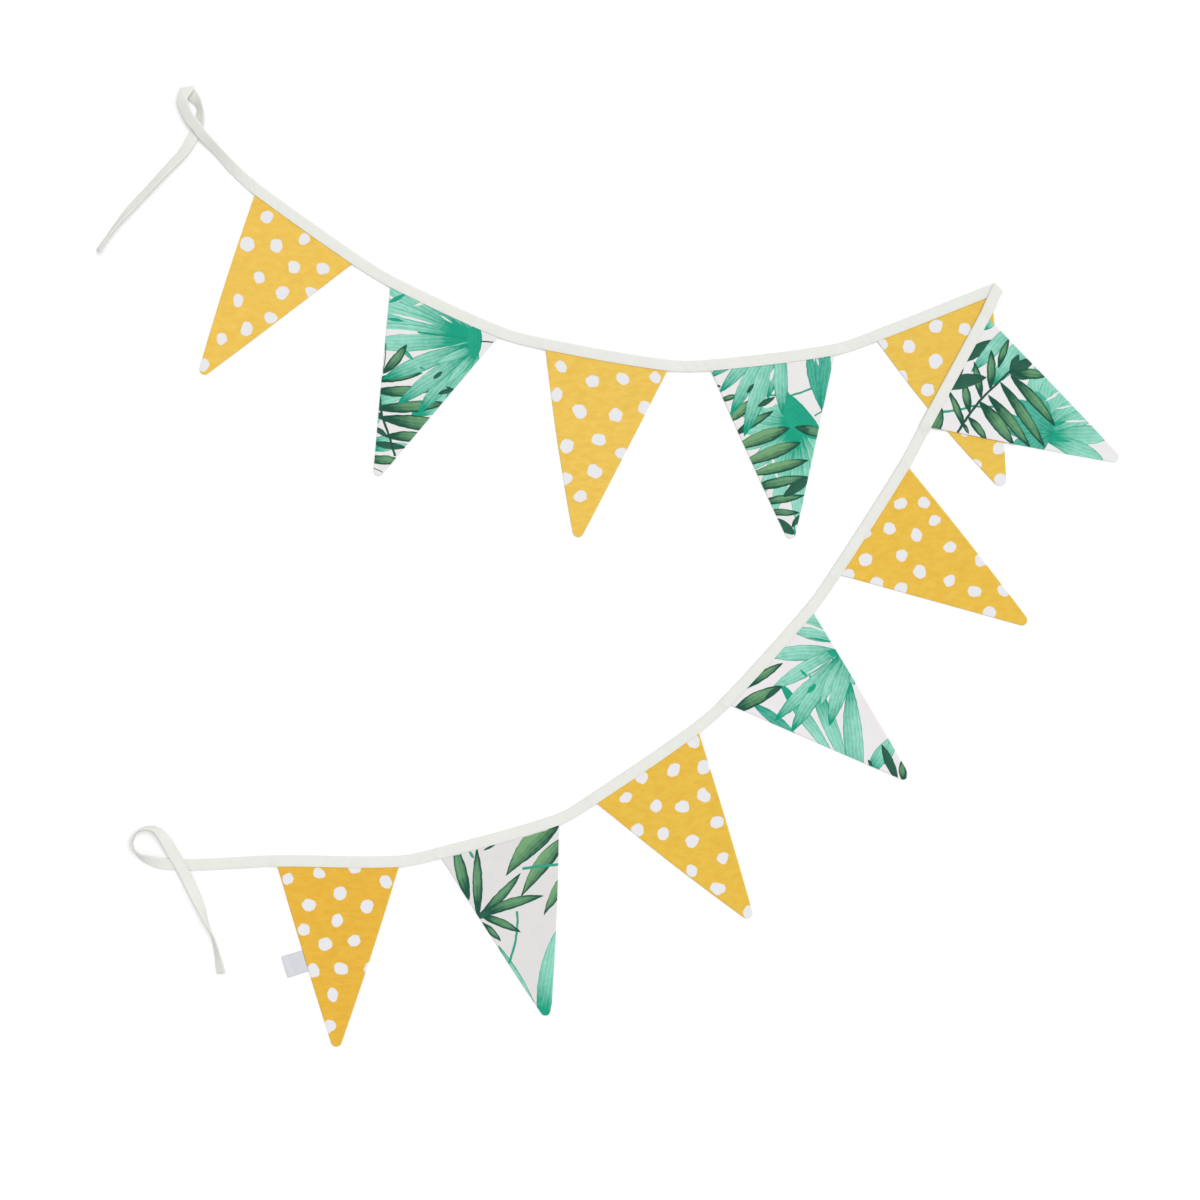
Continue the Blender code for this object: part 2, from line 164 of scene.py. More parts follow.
def newGroup(name, inputs, outputs):
    # the names of the sockets, with :V after a vector and :C after a colour
    kinds = {"V": "NodeSocketVector", "C": "NodeSocketColor", "": "NodeSocketFloat"}
    tree = bpy.data.node_groups.new(name, "ShaderNodeTree")
    for way, sockets in (("INPUT", inputs), ("OUTPUT", outputs)):
        for socket in sockets.split():
            label, _, kind = socket.partition(":")
            tree.interface.new_socket(name=label, in_out=way, socket_type=kinds[kind])
    return tree, tree.nodes.new("NodeGroupInput").outputs, tree.nodes.new("NodeGroupOutput").inputs


def putGroup(tree, group, **values):
    made = tree.nodes.new("ShaderNodeGroup")
    made.node_tree = group
    for label, value in values.items():
        setInput(tree, made.inputs[label], value)
    return made.outputs


def weaveGroup():
    # height: product of two sines across the threads; tone: long thin slubs along one thread
    # direction plus a broad unevenness
    tree, given, result = newGroup("clothWeave", "place:V turn thread slub", "height tone")
    laid = addNode(tree, "VectorRotate", given["place"], None, None, given["turn"],
                   rotation_type="Z_AXIS")
    spacing = addNode(tree, "CombineXYZ", given["thread"], given["thread"], 1.0)
    wave = vecCalc(tree, "SCALE", vecCalc(tree, "DIVIDE", laid, spacing), None, None, 2 * np.pi)
    split = addNode(tree, "SeparateXYZ", vecCalc(tree, "SINE", wave)).node.outputs
    threads = calc(tree, "MULTIPLY", split[0], split[1])
    slubs = noiseAt(tree, vecCalc(tree, "MULTIPLY", laid, (0.06, 1.1, 1.0)), 1.0, 3.0, 0.6)
    broad = noiseAt(tree, laid, 0.045, 2.0)
    swing = calc(tree, "MULTIPLY", calc(tree, "SUBTRACT", slubs, 0.5), given["slub"])
    wide = calc(tree, "MULTIPLY", calc(tree, "SUBTRACT", broad, 0.5), 0.07)
    tone = calc(tree, "ADD", calc(tree, "ADD", swing, wide), 1.0)
    tree.links.new(tone, result["tone"])
    height = calc(tree, "MULTIPLY_ADD", threads, 0.5, calc(tree, "MULTIPLY", slubs, 0.8))
    tree.links.new(height, result["height"])
    return tree


def wobbleGroup():
    # place moved a little by smooth noise, for the hand-painted edges of dots and leaves
    tree, given, result = newGroup("paintedEdge", "place:V size reach", "place:V")
    noise = noiseAt(tree, given["place"], calc(tree, "DIVIDE", 1.0, given["size"]), 1.5, out=1)
    shift = vecCalc(tree, "SUBTRACT", noise, (0.5, 0.5, 0.5))
    shift = vecCalc(tree, "SCALE", shift, None, None, given["reach"])
    moved = vecCalc(tree, "ADD", given["place"], shift)
    flat = vecCalc(tree, "MULTIPLY", moved, (1.0, 1.0, 0.0))
    tree.links.new(flat, result["place"])
    return tree


def dotGroup():
    # 1 inside an oval of the radius, longer along its turn and shorter across, soft at its edge
    tree, given, result = newGroup("paleDot", "place:V centre:V radius turn oval", "mask")
    away = vecCalc(tree, "SUBTRACT", given["place"], given["centre"])
    turned = addNode(tree, "VectorRotate", away, None, None, given["turn"], rotation_type="Z_AXIS")
    shorter = calc(tree, "DIVIDE", 1.0, given["oval"])
    ratio = addNode(tree, "CombineXYZ", shorter, given["oval"], 0.0)
    reach = vecCalc(tree, "LENGTH", vecCalc(tree, "MULTIPLY", turned, ratio), out=1)
    mask = between(tree, calc(tree, "SUBTRACT", given["radius"], reach), -0.55, 0.55)
    tree.links.new(mask, result["mask"])
    return tree


lineInputs = "under:C pale:C deep:C place:V base:V tip:V width bend "


def leafGroup():
    # a blade from base to tip: half width = width * sin(pi s^peak)^0.75 at the share s of its
    # length, its middle line bowed sideways by bend * 4s(1-s). The tone is deep within rim of
    # the outline (edge), at the base by (1-s)^3 (root), at the tip by s^5 (point) and on one
    # side (shade), and streaked lengthwise by two sines that the grain makes uneven
    tree, given, result = newGroup(
        "singleLeaf", lineInputs + "peak edge rim root point shade streak grain mottle", "colour:C")
    share, beside, length = alongLine(tree, given)
    held = calc(tree, "MINIMUM", calc(tree, "MAXIMUM", share, 0.0001), 0.9999)
    swell = calc(tree, "MULTIPLY", calc(tree, "POWER", held, given["peak"]), np.pi)
    swell = calc(tree, "SINE", swell)
    half = calc(tree, "MULTIPLY", calc(tree, "POWER", swell, 0.75), given["width"])
    inside = calc(tree, "SUBTRACT", half, calc(tree, "ABSOLUTE", beside))
    mask = between(tree, inside, -0.25, 0.4)
    mask = calc(tree, "MULTIPLY", mask, calc(tree, "COMPARE", share, 0.5, 0.5))
    uneven = calc(tree, "MULTIPLY_ADD", given["grain"], 7.0, calc(tree, "MULTIPLY", length, 3.7))
    wide = calc(tree, "SINE", calc(tree, "MULTIPLY_ADD", beside, 1.6, uneven))
    finer = calc(tree, "MULTIPLY", uneven, 1.9)
    fine = calc(tree, "SINE", calc(tree, "MULTIPLY_ADD", beside, 3.9, finer))
    streaks = calc(tree, "MULTIPLY", calc(tree, "MULTIPLY_ADD", fine, 0.6, wide), 0.11)
    streaks = calc(tree, "MULTIPLY_ADD", calc(tree, "SUBTRACT", given["mottle"], 0.5), 0.7, streaks)
    side = calc(tree, "MULTIPLY", calc(tree, "DIVIDE", beside, given["width"]), given["shade"])
    tone = calc(tree, "MULTIPLY_ADD", streaks, given["streak"], calc(tree, "ADD", side, 0.14))
    outline = between(tree, inside, 0.0, given["rim"], 1.0, 0.0)
    nearBase = calc(tree, "POWER", calc(tree, "SUBTRACT", 1.0, held), 3.0)
    nearTip = calc(tree, "POWER", held, 5.0)
    for amount, part in ((outline, "edge"), (nearBase, "root"), (nearTip, "point")):
        tone = calc(tree, "MULTIPLY_ADD", amount, given[part], tone)
    paint = blendColour(tree, tone, given["pale"], given["deep"])
    tree.links.new(blendColour(tree, mask, given["under"], paint), result["colour"])
    return tree


def alongLine(tree, given):
    # share of the way from base to tip, and the distance to the side of a line bowed by
    # bend * 4s(1-s). The place waits for the colour under the line, times 0, so that a long
    # chart is worked out one line after another and fits into the shader's memory
    axis = vecCalc(tree, "SUBTRACT", given["tip"], given["base"])
    length = vecCalc(tree, "LENGTH", axis, out=1)
    along = vecCalc(tree, "NORMALIZE", axis)
    place = vecCalc(tree, "MULTIPLY_ADD", given["under"], (0.0, 0.0, 0.0), given["place"])
    away = vecCalc(tree, "SUBTRACT", place, given["base"])
    share = calc(tree, "DIVIDE", vecCalc(tree, "DOT_PRODUCT", away, along, out=1), length)
    sideways = vecCalc(tree, "CROSS_PRODUCT", (0.0, 0.0, 1.0), along)
    bow = calc(tree, "MULTIPLY", share, calc(tree, "SUBTRACT", 1.0, share))
    bow = calc(tree, "MULTIPLY", bow, 4.0)
    beside = calc(tree, "SUBTRACT", vecCalc(tree, "DOT_PRODUCT", away, sideways, out=1),
                  calc(tree, "MULTIPLY", bow, given["bend"]))
    return share, beside, length


def stemGroup():
    # a line from base to tip of constant half width, bowed sideways by bend * 4s(1-s)
    tree, given, result = newGroup("thinStem", lineInputs, "colour:C")
    share, beside, _ = alongLine(tree, given)
    inside = calc(tree, "SUBTRACT", given["width"], calc(tree, "ABSOLUTE", beside))
    mask = calc(tree, "MULTIPLY", between(tree, inside, -0.25, 0.35),
                calc(tree, "COMPARE", share, 0.5, 0.5))
    deepness = between(tree, inside, 0.0, 0.8, 1.0, 0.6)
    paint = blendColour(tree, deepness, given["pale"], given["deep"])
    tree.links.new(blendColour(tree, mask, given["under"], paint), result["colour"])
    return tree


groups = {"weave": weaveGroup(), "wobble": wobbleGroup(), "dot": dotGroup(), "leaf": leafGroup(),
          "stem": stemGroup()}
print("shader groups made:", len(groups))


# Binding: a bias strip folded once along its length, with both of its free ties
binding = {
    "width": 12.5, "wall": 0.8, "slotOpen": 1.2, "slotShut": 0.3, "slotMargin": 3.0,
    "slotClosing": 7.0, "spacing": 1.5, "foldDepth": 2.0, "loopRadius": 2.7,
    "loopBearing": 9.4, "creaseRadius": 1.55, "creaseBearing": 131.0, "turnSteps": 16,
    "colour": (0.755, 0.765, 0.72), "pucker": 0.16, "stitchInset": 1.7, "groove": 0.3,
    "grooveWidth": 0.55, "flatSteps": 11, "foldSteps": 9,
    # length, slant, share, size and seed of each
    "ripples": ((11.0, 0.9, 1.0, 60.0, 4), (17.0, -0.6, 0.6, 70.0, 5)),
}
# x, y, tilt, lift, pennant that starts here and ends at the next row, without a row's last zeros
upperTail = (
    (-565, 349, 60), (-555, 364, 68), (-545.5, 377, 62), (-529, 396.5, 45), (-506, 421, 46),
    (-488, 440.5, 38), (-472, 457.5, 26), (-462, 473.5, 12), (-455.5, 486.5, 10), (-452.6, 497, 34),
    (-452.2, 506, 56), (-454.6, 513.5, 50), (-459.6, 520, 14), (-466.5, 527.5))
upperStrand = (
    (-466.5, 527.5, 0, 5.4), (-471.2, 517.5, 22, 6), (-469.2, 507.5, 30, 6.2),
    (-462.8, 494.5, 28, 6.2), (-456, 486.5, 24, 5.8), (-451, 479.5, 28, 5), (-443, 470.5, 34, 3.4),
    (-433.5, 460.5, 38, 1.6), (-412, 437, 22), (-388.5, 416.5, 0, 0, 1), (-281, 340),
    (-239, 314.5, 0, 0, 2), (-120.5, 259.5), (-68, 245.5, 0, 0, 3), (66, 222.5),
    (113.5, 222.5, 0, 0, 4), (249.5, 239.5), (296.5, 255, 0, 0, 5), (423, 305), (431.6, 307.8))
lowerStrand = (
    (431.6, 307.8), (425.5, 294.5), (417, 276, 0, 0, 6), (352.5, 156.5), (328.5, 111.5, 0, 0, 7),
    (253, -7), (223, -49, 0, 0, 8), (131.5, -150.5), (97, -181, 0, 0, 9), (-16, -258.5),
    (-57, -282, 0, 0, 10), (-186.5, -318.5), (-233, -328, 0, 0, 11), (-367, -327.5), (-420, -330),
    (-464, -332), (-488, -331, 1), (-496, -330, 12), (-508.5, -326.5, 34), (-519, -321.5, 62),
    (-525, -315, 80), (-528, -307.5, 88), (-525.5, -299, 90), (-518, -292, 88), (-509, -290.5, 80),
    (-501, -292.5, 66, 0.4), (-492, -302, 38, 1.6), (-484.5, -315.5, 6, 2.9), (-475.5, -331, 0, 3),
    (-467.5, -345.5, 6, 2.8), (-456.5, -367.5, 36, 0.6), (-450, -382, 60), (-444.5, -396.5, 86),
    (-438.5, -410, 105), (-434, -426.5, 120), (-429, -451.5, 147))


def smoothPath(rows, spacing):
    # cubic between neighbouring rows; the direction at a row is that of the line between its
    # two neighbours, scaled by the length of the stretch
    places = rows[:, :2]
    directions = unit(np.vstack((places[1] - places[0], places[2:] - places[:-2],
                                 places[-1] - places[-2])))
    lengths = np.linalg.norm(np.diff(places, axis=0), axis=1)
    counts = np.maximum(2, np.ceil(lengths / spacing)).astype(int)
    row = np.concatenate([i + np.arange(n) / n for i, n in enumerate(counts)] + [[len(rows) - 1.0]])
    i = np.minimum(row.astype(int), len(rows) - 2)
    f = (row - i)[:, None]
    start, end, length = places[i], places[i + 1], lengths[i][:, None]
    position = ((2 * f**3 - 3 * f**2 + 1) * start + (3 * f**2 - 2 * f**3) * end
                + (f**3 - 2 * f**2 + f) * length * directions[i]
                + (f**3 - f**2) * length * directions[i + 1])
    slope = unit((6 * f**2 - 6 * f) * (start - end) / length
                 + (3 * f**2 - 4 * f + 1) * directions[i]
                 + (3 * f**2 - 2 * f) * directions[i + 1])
    return row, position, slope


def evenOut(values, reach=5):
    # running average with a bell of weights
    weights = np.exp(-0.5 * (np.arange(-reach, reach + 1) / (0.45 * reach)) ** 2)
    return np.convolve(np.pad(values, reach, mode="edge"), weights / weights.sum(), "valid")


def layRun(rows, side, firstBearing=None, lastBearing=None, support=None):
    # width direction = square to the run, leaned by tilt, and turned to a fold's bearing at a
    # fold; height = what lies below + lift + the leaning strip's own half height
    rows = np.array([(*stop, 0, 0, 0)[:5] for stop in rows], dtype=float)
    row, position, slope = smoothPath(rows, binding["spacing"])
    knots = np.arange(len(rows))
    along = lengthAlong(position)
    tilt = evenOut(np.radians(np.interp(row, knots, rows[:, 2])))
    lift = evenOut(np.interp(row, knots, rows[:, 3]))
    beyond = np.full(len(row), 1e3)
    held = {int(rows[k, 4]): k for k in knots[:-1] if rows[k, 4]}
    for k in held.values():
        start, end = np.interp((k, k + 1), row, along)
        beyond = np.minimum(beyond, np.maximum(np.maximum(start - along, along - end), 0.0))
    shut = ease((beyond - binding["slotMargin"]) / binding["slotClosing"])
    slot = binding["slotOpen"] + (binding["slotShut"] - binding["slotOpen"]) * shut

    square = np.degrees(np.arctan2(slope[:, 1], slope[:, 0])) + 90.0 * side
    for bearing, end in ((firstBearing, 0), (lastBearing, -1)):
        if bearing is not None:
            turn = (bearing - square[end] + 180.0) % 360.0 - 180.0
            square = square + turn * np.clip(1.0 - np.abs(row - row[end]), 0.0, 1.0)
    heading = np.radians(square)

    height = (lift + np.abs(np.sin(tilt)) * 0.5 * binding["width"]
              + np.abs(np.cos(tilt)) * (binding["wall"] + 0.5 * slot))
    if support is not None:
        height = height + support(position, 0.5 * binding["width"])
    across = np.column_stack((np.cos(tilt) * np.cos(heading), np.cos(tilt) * np.sin(heading),
                              np.sin(tilt)))
    face = np.cross(np.column_stack((slope, np.zeros(len(row)))), across)
    stretch = 1.0 / np.maximum(0.5, np.linalg.norm(face, axis=1))
    laid = {"middle": np.column_stack((position, height)), "across": across, "face": unit(face),
            "stretch": stretch, "slot": slot, "row": row}
    return laid, held


def turnOver(run, side, radius):
    # half circle that carries the strip up and back over itself
    angle = (np.pi * np.arange(1, binding["turnSteps"]) / binding["turnSteps"])[:, None]
    across = run["across"][-1]
    outward = np.array((across[1], -across[0], 0.0)) * side
    up = np.array((0.0, 0.0, 1.0))
    middle = (run["middle"][-1] + outward * radius * np.sin(angle)
              + up * radius * (1 - np.cos(angle)))
    many = len(angle)
    return {"middle": middle, "across": np.tile(across, (many, 1)),
            "face": side * (up * np.cos(angle) - outward * np.sin(angle)),
            "stretch": np.full(many, run["stretch"][-1]),
            "slot": np.full(many, binding["slotShut"])}


def toSegment(places, start, end):
    run = end - start
    share = np.clip(((places - start) @ run) / (run @ run), 0.0, 1.0)
    return np.linalg.norm(places - start - share[..., None] * run, axis=-1)


def toTriangle(places, corners):
    # 0 inside, else the distance to the nearest side
    sides, away = [], []
    for start, end in zip(corners, corners[1:] + corners[:1]):
        run, offset = end - start, places - start
        sides.append(run[0] * offset[..., 1] - run[1] * offset[..., 0])
        away.append(toSegment(places, start, end))
    within = (np.min(sides, axis=0) >= 0.0) | (np.max(sides, axis=0) <= 0.0)
    return np.where(within, 0.0, np.min(away, axis=0))


def foldProfile(width, wall, foldDepth, flatSteps, foldSteps):
    # outline of a strip folded in two, round its outside and back along its slot. Columns:
    # place across, share of the half gap, and the outward direction of the half wall
    fold = 0.5 * width - 0.5 * wall - foldDepth
    share = np.linspace(0.0, 1.0, flatSteps) ** 1.25
    flat = -0.5 * width + 0.5 * wall + (fold + 0.5 * width - 0.5 * wall) * share
    turn = np.linspace(0.0, np.pi, foldSteps + 2)[1:-1]
    outTurn = unit(np.column_stack((0.5 * foldDepth * np.sin(turn), -np.cos(turn))))
    opening = flat[0]
    lower = np.column_stack((flat, -np.ones(flatSteps), np.zeros(flatSteps), -np.ones(flatSteps)))
    bend = np.column_stack((fold + foldDepth * np.sin(turn), -np.cos(turn), outTurn))
    upper = lower[::-1] * (1, -1, 1, -1)
    nose = np.linspace(0.0, np.pi, 5)[1:-1]
    upperNose = np.column_stack((0 * nose + opening, 0 * nose + 1, -np.sin(nose), np.cos(nose)))
    inner = ((opening, 1, 0, -1), (fold, 1, 0, -1), (fold + 0.5 * foldDepth, 0.7, -0.5, -0.7),
             (fold + 0.6 * foldDepth, 0, -1, 0), (fold + 0.5 * foldDepth, -0.7, -0.5, 0.7),
             (fold, -1, 0, 1), (opening, -1, 0, 1))
    return np.vstack((lower, bend, upper, upperNose, inner, upperNose * (1, -1, 1, 1)))


def foldedStrip(name, sections, along, profile, wall, relief, groove, material):
    # place = middle + across * place across * stretch + face * (half gap + half wall) along
    # the profile, with relief moving both layers together and groove thinning the outside
    across, gap, outAcross, outFace = profile.T
    half = 0.5 * wall * (1.0 - groove)
    a = (across + outAcross * half) * sections["stretch"][:, None]
    b = gap * (0.5 * (sections["slot"] + wall))[:, None] + outFace * half + relief
    points = (sections["middle"][:, None] + sections["across"][:, None] * a[..., None]
              + sections["face"][:, None] * b[..., None])
    points[..., 2] = np.maximum(points[..., 2], lowest)
    around = lengthAlong(np.vstack((profile, profile[:1]))[:, :2])
    uv = np.stack(np.broadcast_arrays(along[:, None], around), axis=-1)
    return gridMesh(name, points, uv, material, capped=True)


def bindingRelief(along, across):
    # slanting ripples of the bias cut, strongest at the stitched edge and coming and going: the
    # sum of share * sin(2 pi (along + slant * across) / length + an uneven phase)
    waves = 0.0
    for length, slant, share, size, seed in binding["ripples"]:
        phase = 2.0 * ripple(along, across, size, seed)
        waves = waves + share * np.sin(2 * np.pi * (along + slant * across) / length + phase)
    come = 0.55 + 0.45 * ripple(along, 0 * along, 90.0, 3)
    edge = 0.45 + 0.55 * (0.5 - across / binding["width"])
    return binding["pucker"] * come * edge * waves


tail, _ = layRun(upperTail, -1, lastBearing=binding["loopBearing"])
upper, upperHeld = layRun(upperStrand, 1, firstBearing=binding["loopBearing"],
                          lastBearing=binding["creaseBearing"])

# Pennants: two layers of cotton turned right side out, each with its point swung a little
pennants = {
    "thickness": 1.2, "tucked": 0.6, "tuckDepth": 9.0, "tipRadius": 5.5, "thickening": 12.0,
    "landing": 20.0, "rowStep": 1.9, "halfColumns": 27, "rim": 0.75, "seam": 0.22,
    "edgeMargin": 8.0, "edgeFall": 14.0, "clearance": 0.6, "seamPlace": 2.6, "seamWidth": 2.0,
    "gather": 0.10, "gatherReach": 5.0, "gatherSize": 9.0, "gatherStart": 15, "hollow": 0.1,
    "hollowReach": 12, "sway": 0.35, "heldSway": 0.12, "swaySize": 70.0, "tipRows": 12,
}
# drop to the rounded tip, swing of the tip, bulge of each side
pennantShapes = {
    1: (195.5, 1.0, 2.0, 0.5), 2: (195.5, 9.0, 0.5, 0.0), 3: (198.5, 1.5, 2.5, 0.5),
    4: (195.5, -4.0, 1.0, 0.5), 5: (199.5, 2.5, 5.0, 2.0), 6: (199.5, 0.5, 1.0, 1.0),
    7: (202.0, 5.0, 1.5, 0.0), 8: (199.0, -2.5, 1.0, 0.0), 9: (200.5, 0.0, 1.0, 2.0),
    10: (199.5, 2.5, 2.0, 1.0), 11: (199.5, 1.5, 1.5, 1.0)}


def holderLine(run, first, shares):
    # mouth of the slot and the direction into it, at shares of the stretch that holds a pennant
    inward = run["across"] * run["stretch"][:, None]
    mouth = run["middle"] - run["across"] * (0.5 * binding["width"] * run["stretch"])[:, None]
    return [readAt(first + shares, run["row"], values) for values in (mouth, inward)]


def pennantPlan(number, run, first):
    # middle and corners of the top edge, the point where the sides meet, and the distance
    # to it: past the rounded tip by the radius times (1 / sin(half angle) - 1)
    drop, swing = pennantShapes[number][:2]
    mouth, inward = holderLine(run, first, np.array((0.0, 1.0)))
    along = unit((mouth[1] - mouth[0]) * (1, 1, 0))
    down = np.array((along[1], -along[0], 0.0))
    down = -down if down @ inward[0] > 0 else down
    half = 0.5 * np.linalg.norm((mouth[1] - mouth[0])[:2])
    sharp = drop
    for _ in range(4):
        sharp = drop + pennants["tipRadius"] * (1.0 / np.sin(np.arctan(half / sharp)) - 1.0)
    middle = mouth.mean(axis=0)
    apex = (middle + along * swing + down * sharp) * (1, 1, 0)
    return {"middle": middle, "first": mouth[0], "last": mouth[1], "apex": apex, "sharp": sharp,
            "half": half, "along": along}


def coverHeight(plan, strandStart, strandEnd):
    # height of what lies below a place: the covered pennant, and the strand over its top
    corners = [plan[key][:2] for key in ("first", "last", "apex")]
    pennantHeight = pennants["thickness"] + pennants["clearance"]
    strandHeight = binding["slotOpen"] + 2 * binding["wall"] + pennants["clearance"]

    def support(places, halfWidth):
        overPennant = toTriangle(places, corners) - halfWidth - pennants["edgeMargin"]
        overStrand = (toSegment(places, strandStart[:2], strandEnd[:2]) - binding["width"]
                      - 0.5 * pennants["edgeMargin"])
        return np.maximum(pennantHeight * (1 - ease(overPennant / pennants["edgeFall"])),
                          strandHeight * (1 - ease(overStrand / pennants["edgeFall"])))

    return support


coveredPlan = pennantPlan(5, upper, upperHeld[5])
strandStart = readAt(upperHeld[5], upper["row"], upper["middle"])
support = coverHeight(coveredPlan, strandStart, upper["middle"][-1])
lower, lowerHeld = layRun(lowerStrand, -1, firstBearing=binding["creaseBearing"], support=support)
parts = (tail, turnOver(tail, -1, binding["loopRadius"]), upper,
         turnOver(upper, 1, binding["creaseRadius"]), lower)
sections = {key: np.concatenate([part[key] for part in parts])
            for key in ("middle", "across", "face", "stretch", "slot")}
stripLength = lengthAlong(sections["middle"])
print(f"binding laid: {stripLength[-1]:.0f} mm in {len(stripLength)} sections")


def newMaterial(name):
    material = bpy.data.materials.new(name)
    material.use_nodes = True
    return material, material.node_tree, material.node_tree.nodes["Principled BSDF"].inputs


def plainMaterial(name, colour, dark, scale, roughness, specular=0.5):
    # smooth noise between the colour and dark times the colour
    material, tree, shader = newMaterial(name)
    noise = noiseAt(tree, addNode(tree, "TexCoord", out=3), scale, 2.0)
    shade = blendColour(tree, noise, tuple(dark * v for v in colour), colour)
    tree.links.new(shade, shader["Base Color"])
    shader["Roughness"].default_value = roughness
    shader["Specular IOR Level"].default_value = specular
    return material


def wovenMaterial(name, turn, thread, slub, squeeze=(1.0, 1.0, 1.0)):
    # the weave on the cloth's own map, which is in millimetres once it is scaled
    material, tree, _ = newMaterial(name)
    place = vecCalc(tree, "SCALE", addNode(tree, "UVMap", uv_map="cloth"), None, None, 1000.0)
    threads = vecCalc(tree, "MULTIPLY", place, squeeze)
    woven = putGroup(tree, groups["weave"], place=threads, turn=turn, thread=thread, slub=slub)
    return material, tree, place, woven


cotton = {"roughness": 0.92, "sheen": 0.12, "specular": 0.2, "bump": 0.25, "bumpReach": 0.0002}


def finishCloth(material, colour, height, tone=None, roughness=cotton["roughness"],
                bump=cotton["bump"]):
    # the colour times the tone; the height feeds one Bump
    tree = material.node_tree
    shader = tree.nodes["Principled BSDF"].inputs
    shader["Roughness"].default_value = roughness
    shader["Sheen Weight"].default_value = cotton["sheen"]
    shader["Specular IOR Level"].default_value = cotton["specular"]
    toned = colour if tone is None else vecCalc(tree, "SCALE", colour, None, None, tone)
    tree.links.new(toned, shader["Base Color"])
    bumped = addNode(tree, "Bump", bump, cotton["bumpReach"])
    tree.links.new(height, bumped.node.inputs["Height"])
    tree.links.new(bumped, shader["Normal"])
    return material


def makeBinding():
    # a groove lies under the stitches: exp(-(distance from them / its width)^2)
    profile = foldProfile(binding["width"], binding["wall"], binding["foldDepth"],
                          binding["flatSteps"], binding["foldSteps"])
    across = profile[None, :, 0]
    fromStitches = across + 0.5 * binding["width"] - binding["stitchInset"]
    groove = binding["groove"] * np.exp(-(fromStitches / binding["grooveWidth"]) ** 2)
    material, _, _, woven = wovenMaterial("bindingCotton", np.pi / 4, 0.55, 0.05)
    finishCloth(material, binding["colour"], woven["height"], woven["tone"])
    return foldedStrip("binding_cloth", sections, stripLength, profile, binding["wall"],
                       bindingRelief(stripLength[:, None], across), groove, material)


bindingPiece = makeBinding()
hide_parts("binding_tape")
print("binding cloth:", len(bindingPiece.data.polygons), "faces")

# Stitches: the thread that closes the binding, seen on both faces near its open edge
stitches = {"pitch": 2.3, "length": 1.75, "width": 0.42, "height": 0.32, "margin": 4.0,
            "shoulder": 0.28, "sunk": -0.6, "colour": (0.78, 0.785, 0.745)}


def makeStitches():
    # each stitch is a lozenge: two rings of four corners between two end points, laid along
    # the binding at its open edge, half sunk in the groove
    count = int((stripLength[-1] - 2 * stitches["margin"]) / stitches["pitch"])
    centre = stitches["margin"] + stitches["pitch"] * (np.arange(count) + 0.5)
    middle, across, face = (readAt(centre, stripLength, sections[key])
                            for key in ("middle", "across", "face"))
    across, face = unit(across), unit(face)
    stretch, slot = (readAt(centre, stripLength, sections[key][:, None])
                     for key in ("stretch", "slot"))
    run = unit(np.cross(across, face))
    place = -0.5 * binding["width"] + binding["stitchInset"]
    relief = bindingRelief(centre, np.full(count, place))[:, None]
    outside = 0.5 * slot + binding["wall"] * (1.0 - 0.5 * binding["groove"])
    rings = [(end, side, up) for end in (-stitches["shoulder"], stitches["shoulder"])
             for side, up in ((1, 0), (0, 1), (-1, 0), (0, -1))]
    lozenge = np.array([(-0.5, 0, stitches["sunk"]), *rings, (0.5, 0, stitches["sunk"])]) * (
        stitches["length"], 0.5 * stitches["width"], 0.5 * stitches["height"])
    points = []
    for side in (1, -1):
        base = middle + across * place * stretch + face * (relief + side * outside)
        points.append(base[:, None] + lozenge @ np.stack((run, across, side * face), axis=1))
    points = np.concatenate(points)
    here, there = np.arange(4), (np.arange(4) + 1) % 4
    corners = np.concatenate([np.column_stack(three) for three in (
        (0 * here, 1 + there, 1 + here), (0 * here + 9, 5 + here, 5 + there),
        (1 + here, 1 + there, 5 + there), (1 + here, 5 + there, 5 + here))])
    faces = corners[None] + 10 * np.arange(len(points))[:, None, None]
    faces[count:] = faces[count:, :, ::-1]          # the underside's stitches are mirrored
    mesh = bpy.data.meshes.new("binding_stitches")
    mesh.from_pydata((points.reshape(-1, 3) * mm).tolist(), [], faces.reshape(-1, 3).tolist())
    mesh.shade_smooth()
    mesh.materials.append(plainMaterial("stitchThread", stitches["colour"], 0.93, 2000.0, 0.8))
    piece = linked("binding_stitches", mesh)
    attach(piece, body)
    return piece


stitchPiece = makeStitches()
print("stitches:", len(stitchPiece.data.polygons), "faces")


def fromPhoto(places, view):
    # a place in an enlarged print of the photo, to millimetres in plan
    scale, left, top = view
    px = np.array(places, dtype=float) / scale + (left, top)
    return (px - photo["middle"]) * (photo["pixel"], -photo["pixel"])


# Dots: where each one is in an enlarged view of the photo (scale, left, top), and its size
mustard = {"dot": (0.765, 0.76, 0.775), "radius": 6.9, "slub": 0.26, "mottle": 0.5,
           "edgeSize": 9.0, "edgeReach": 5.0, "deepening": (0.94, 0.84, 0.55),
           "pale": {1: (0.815, 0.54, 0.102), 3: (0.80, 0.54, 0.105), 5: (0.775, 0.525, 0.095),
                    7: (0.775, 0.50, 0.073), 9: (0.765, 0.495, 0.07), 11: (0.765, 0.455, 0.055)}}
dotCharts = {}
dotCharts[1] = (3.92, 60, 60), ((812, 615), (735, 722), (849, 728), (958, 705), (918, 811),
    (1030, 818), (781, 851), (699, 943), (872, 912), (988, 912), (826, 1010), (733, 1055),
    (634, 1092), (563, 1197))
dotCharts[3] = (3.92, 340, 240), ((867, 497), (990, 556), (1108, 543), (1236, 541), (850, 607),
    (938, 671), (1080, 686), (1195, 658), (890, 806), (1016, 782), (1105, 838), (998, 905),
    (885, 935), (944, 1003))
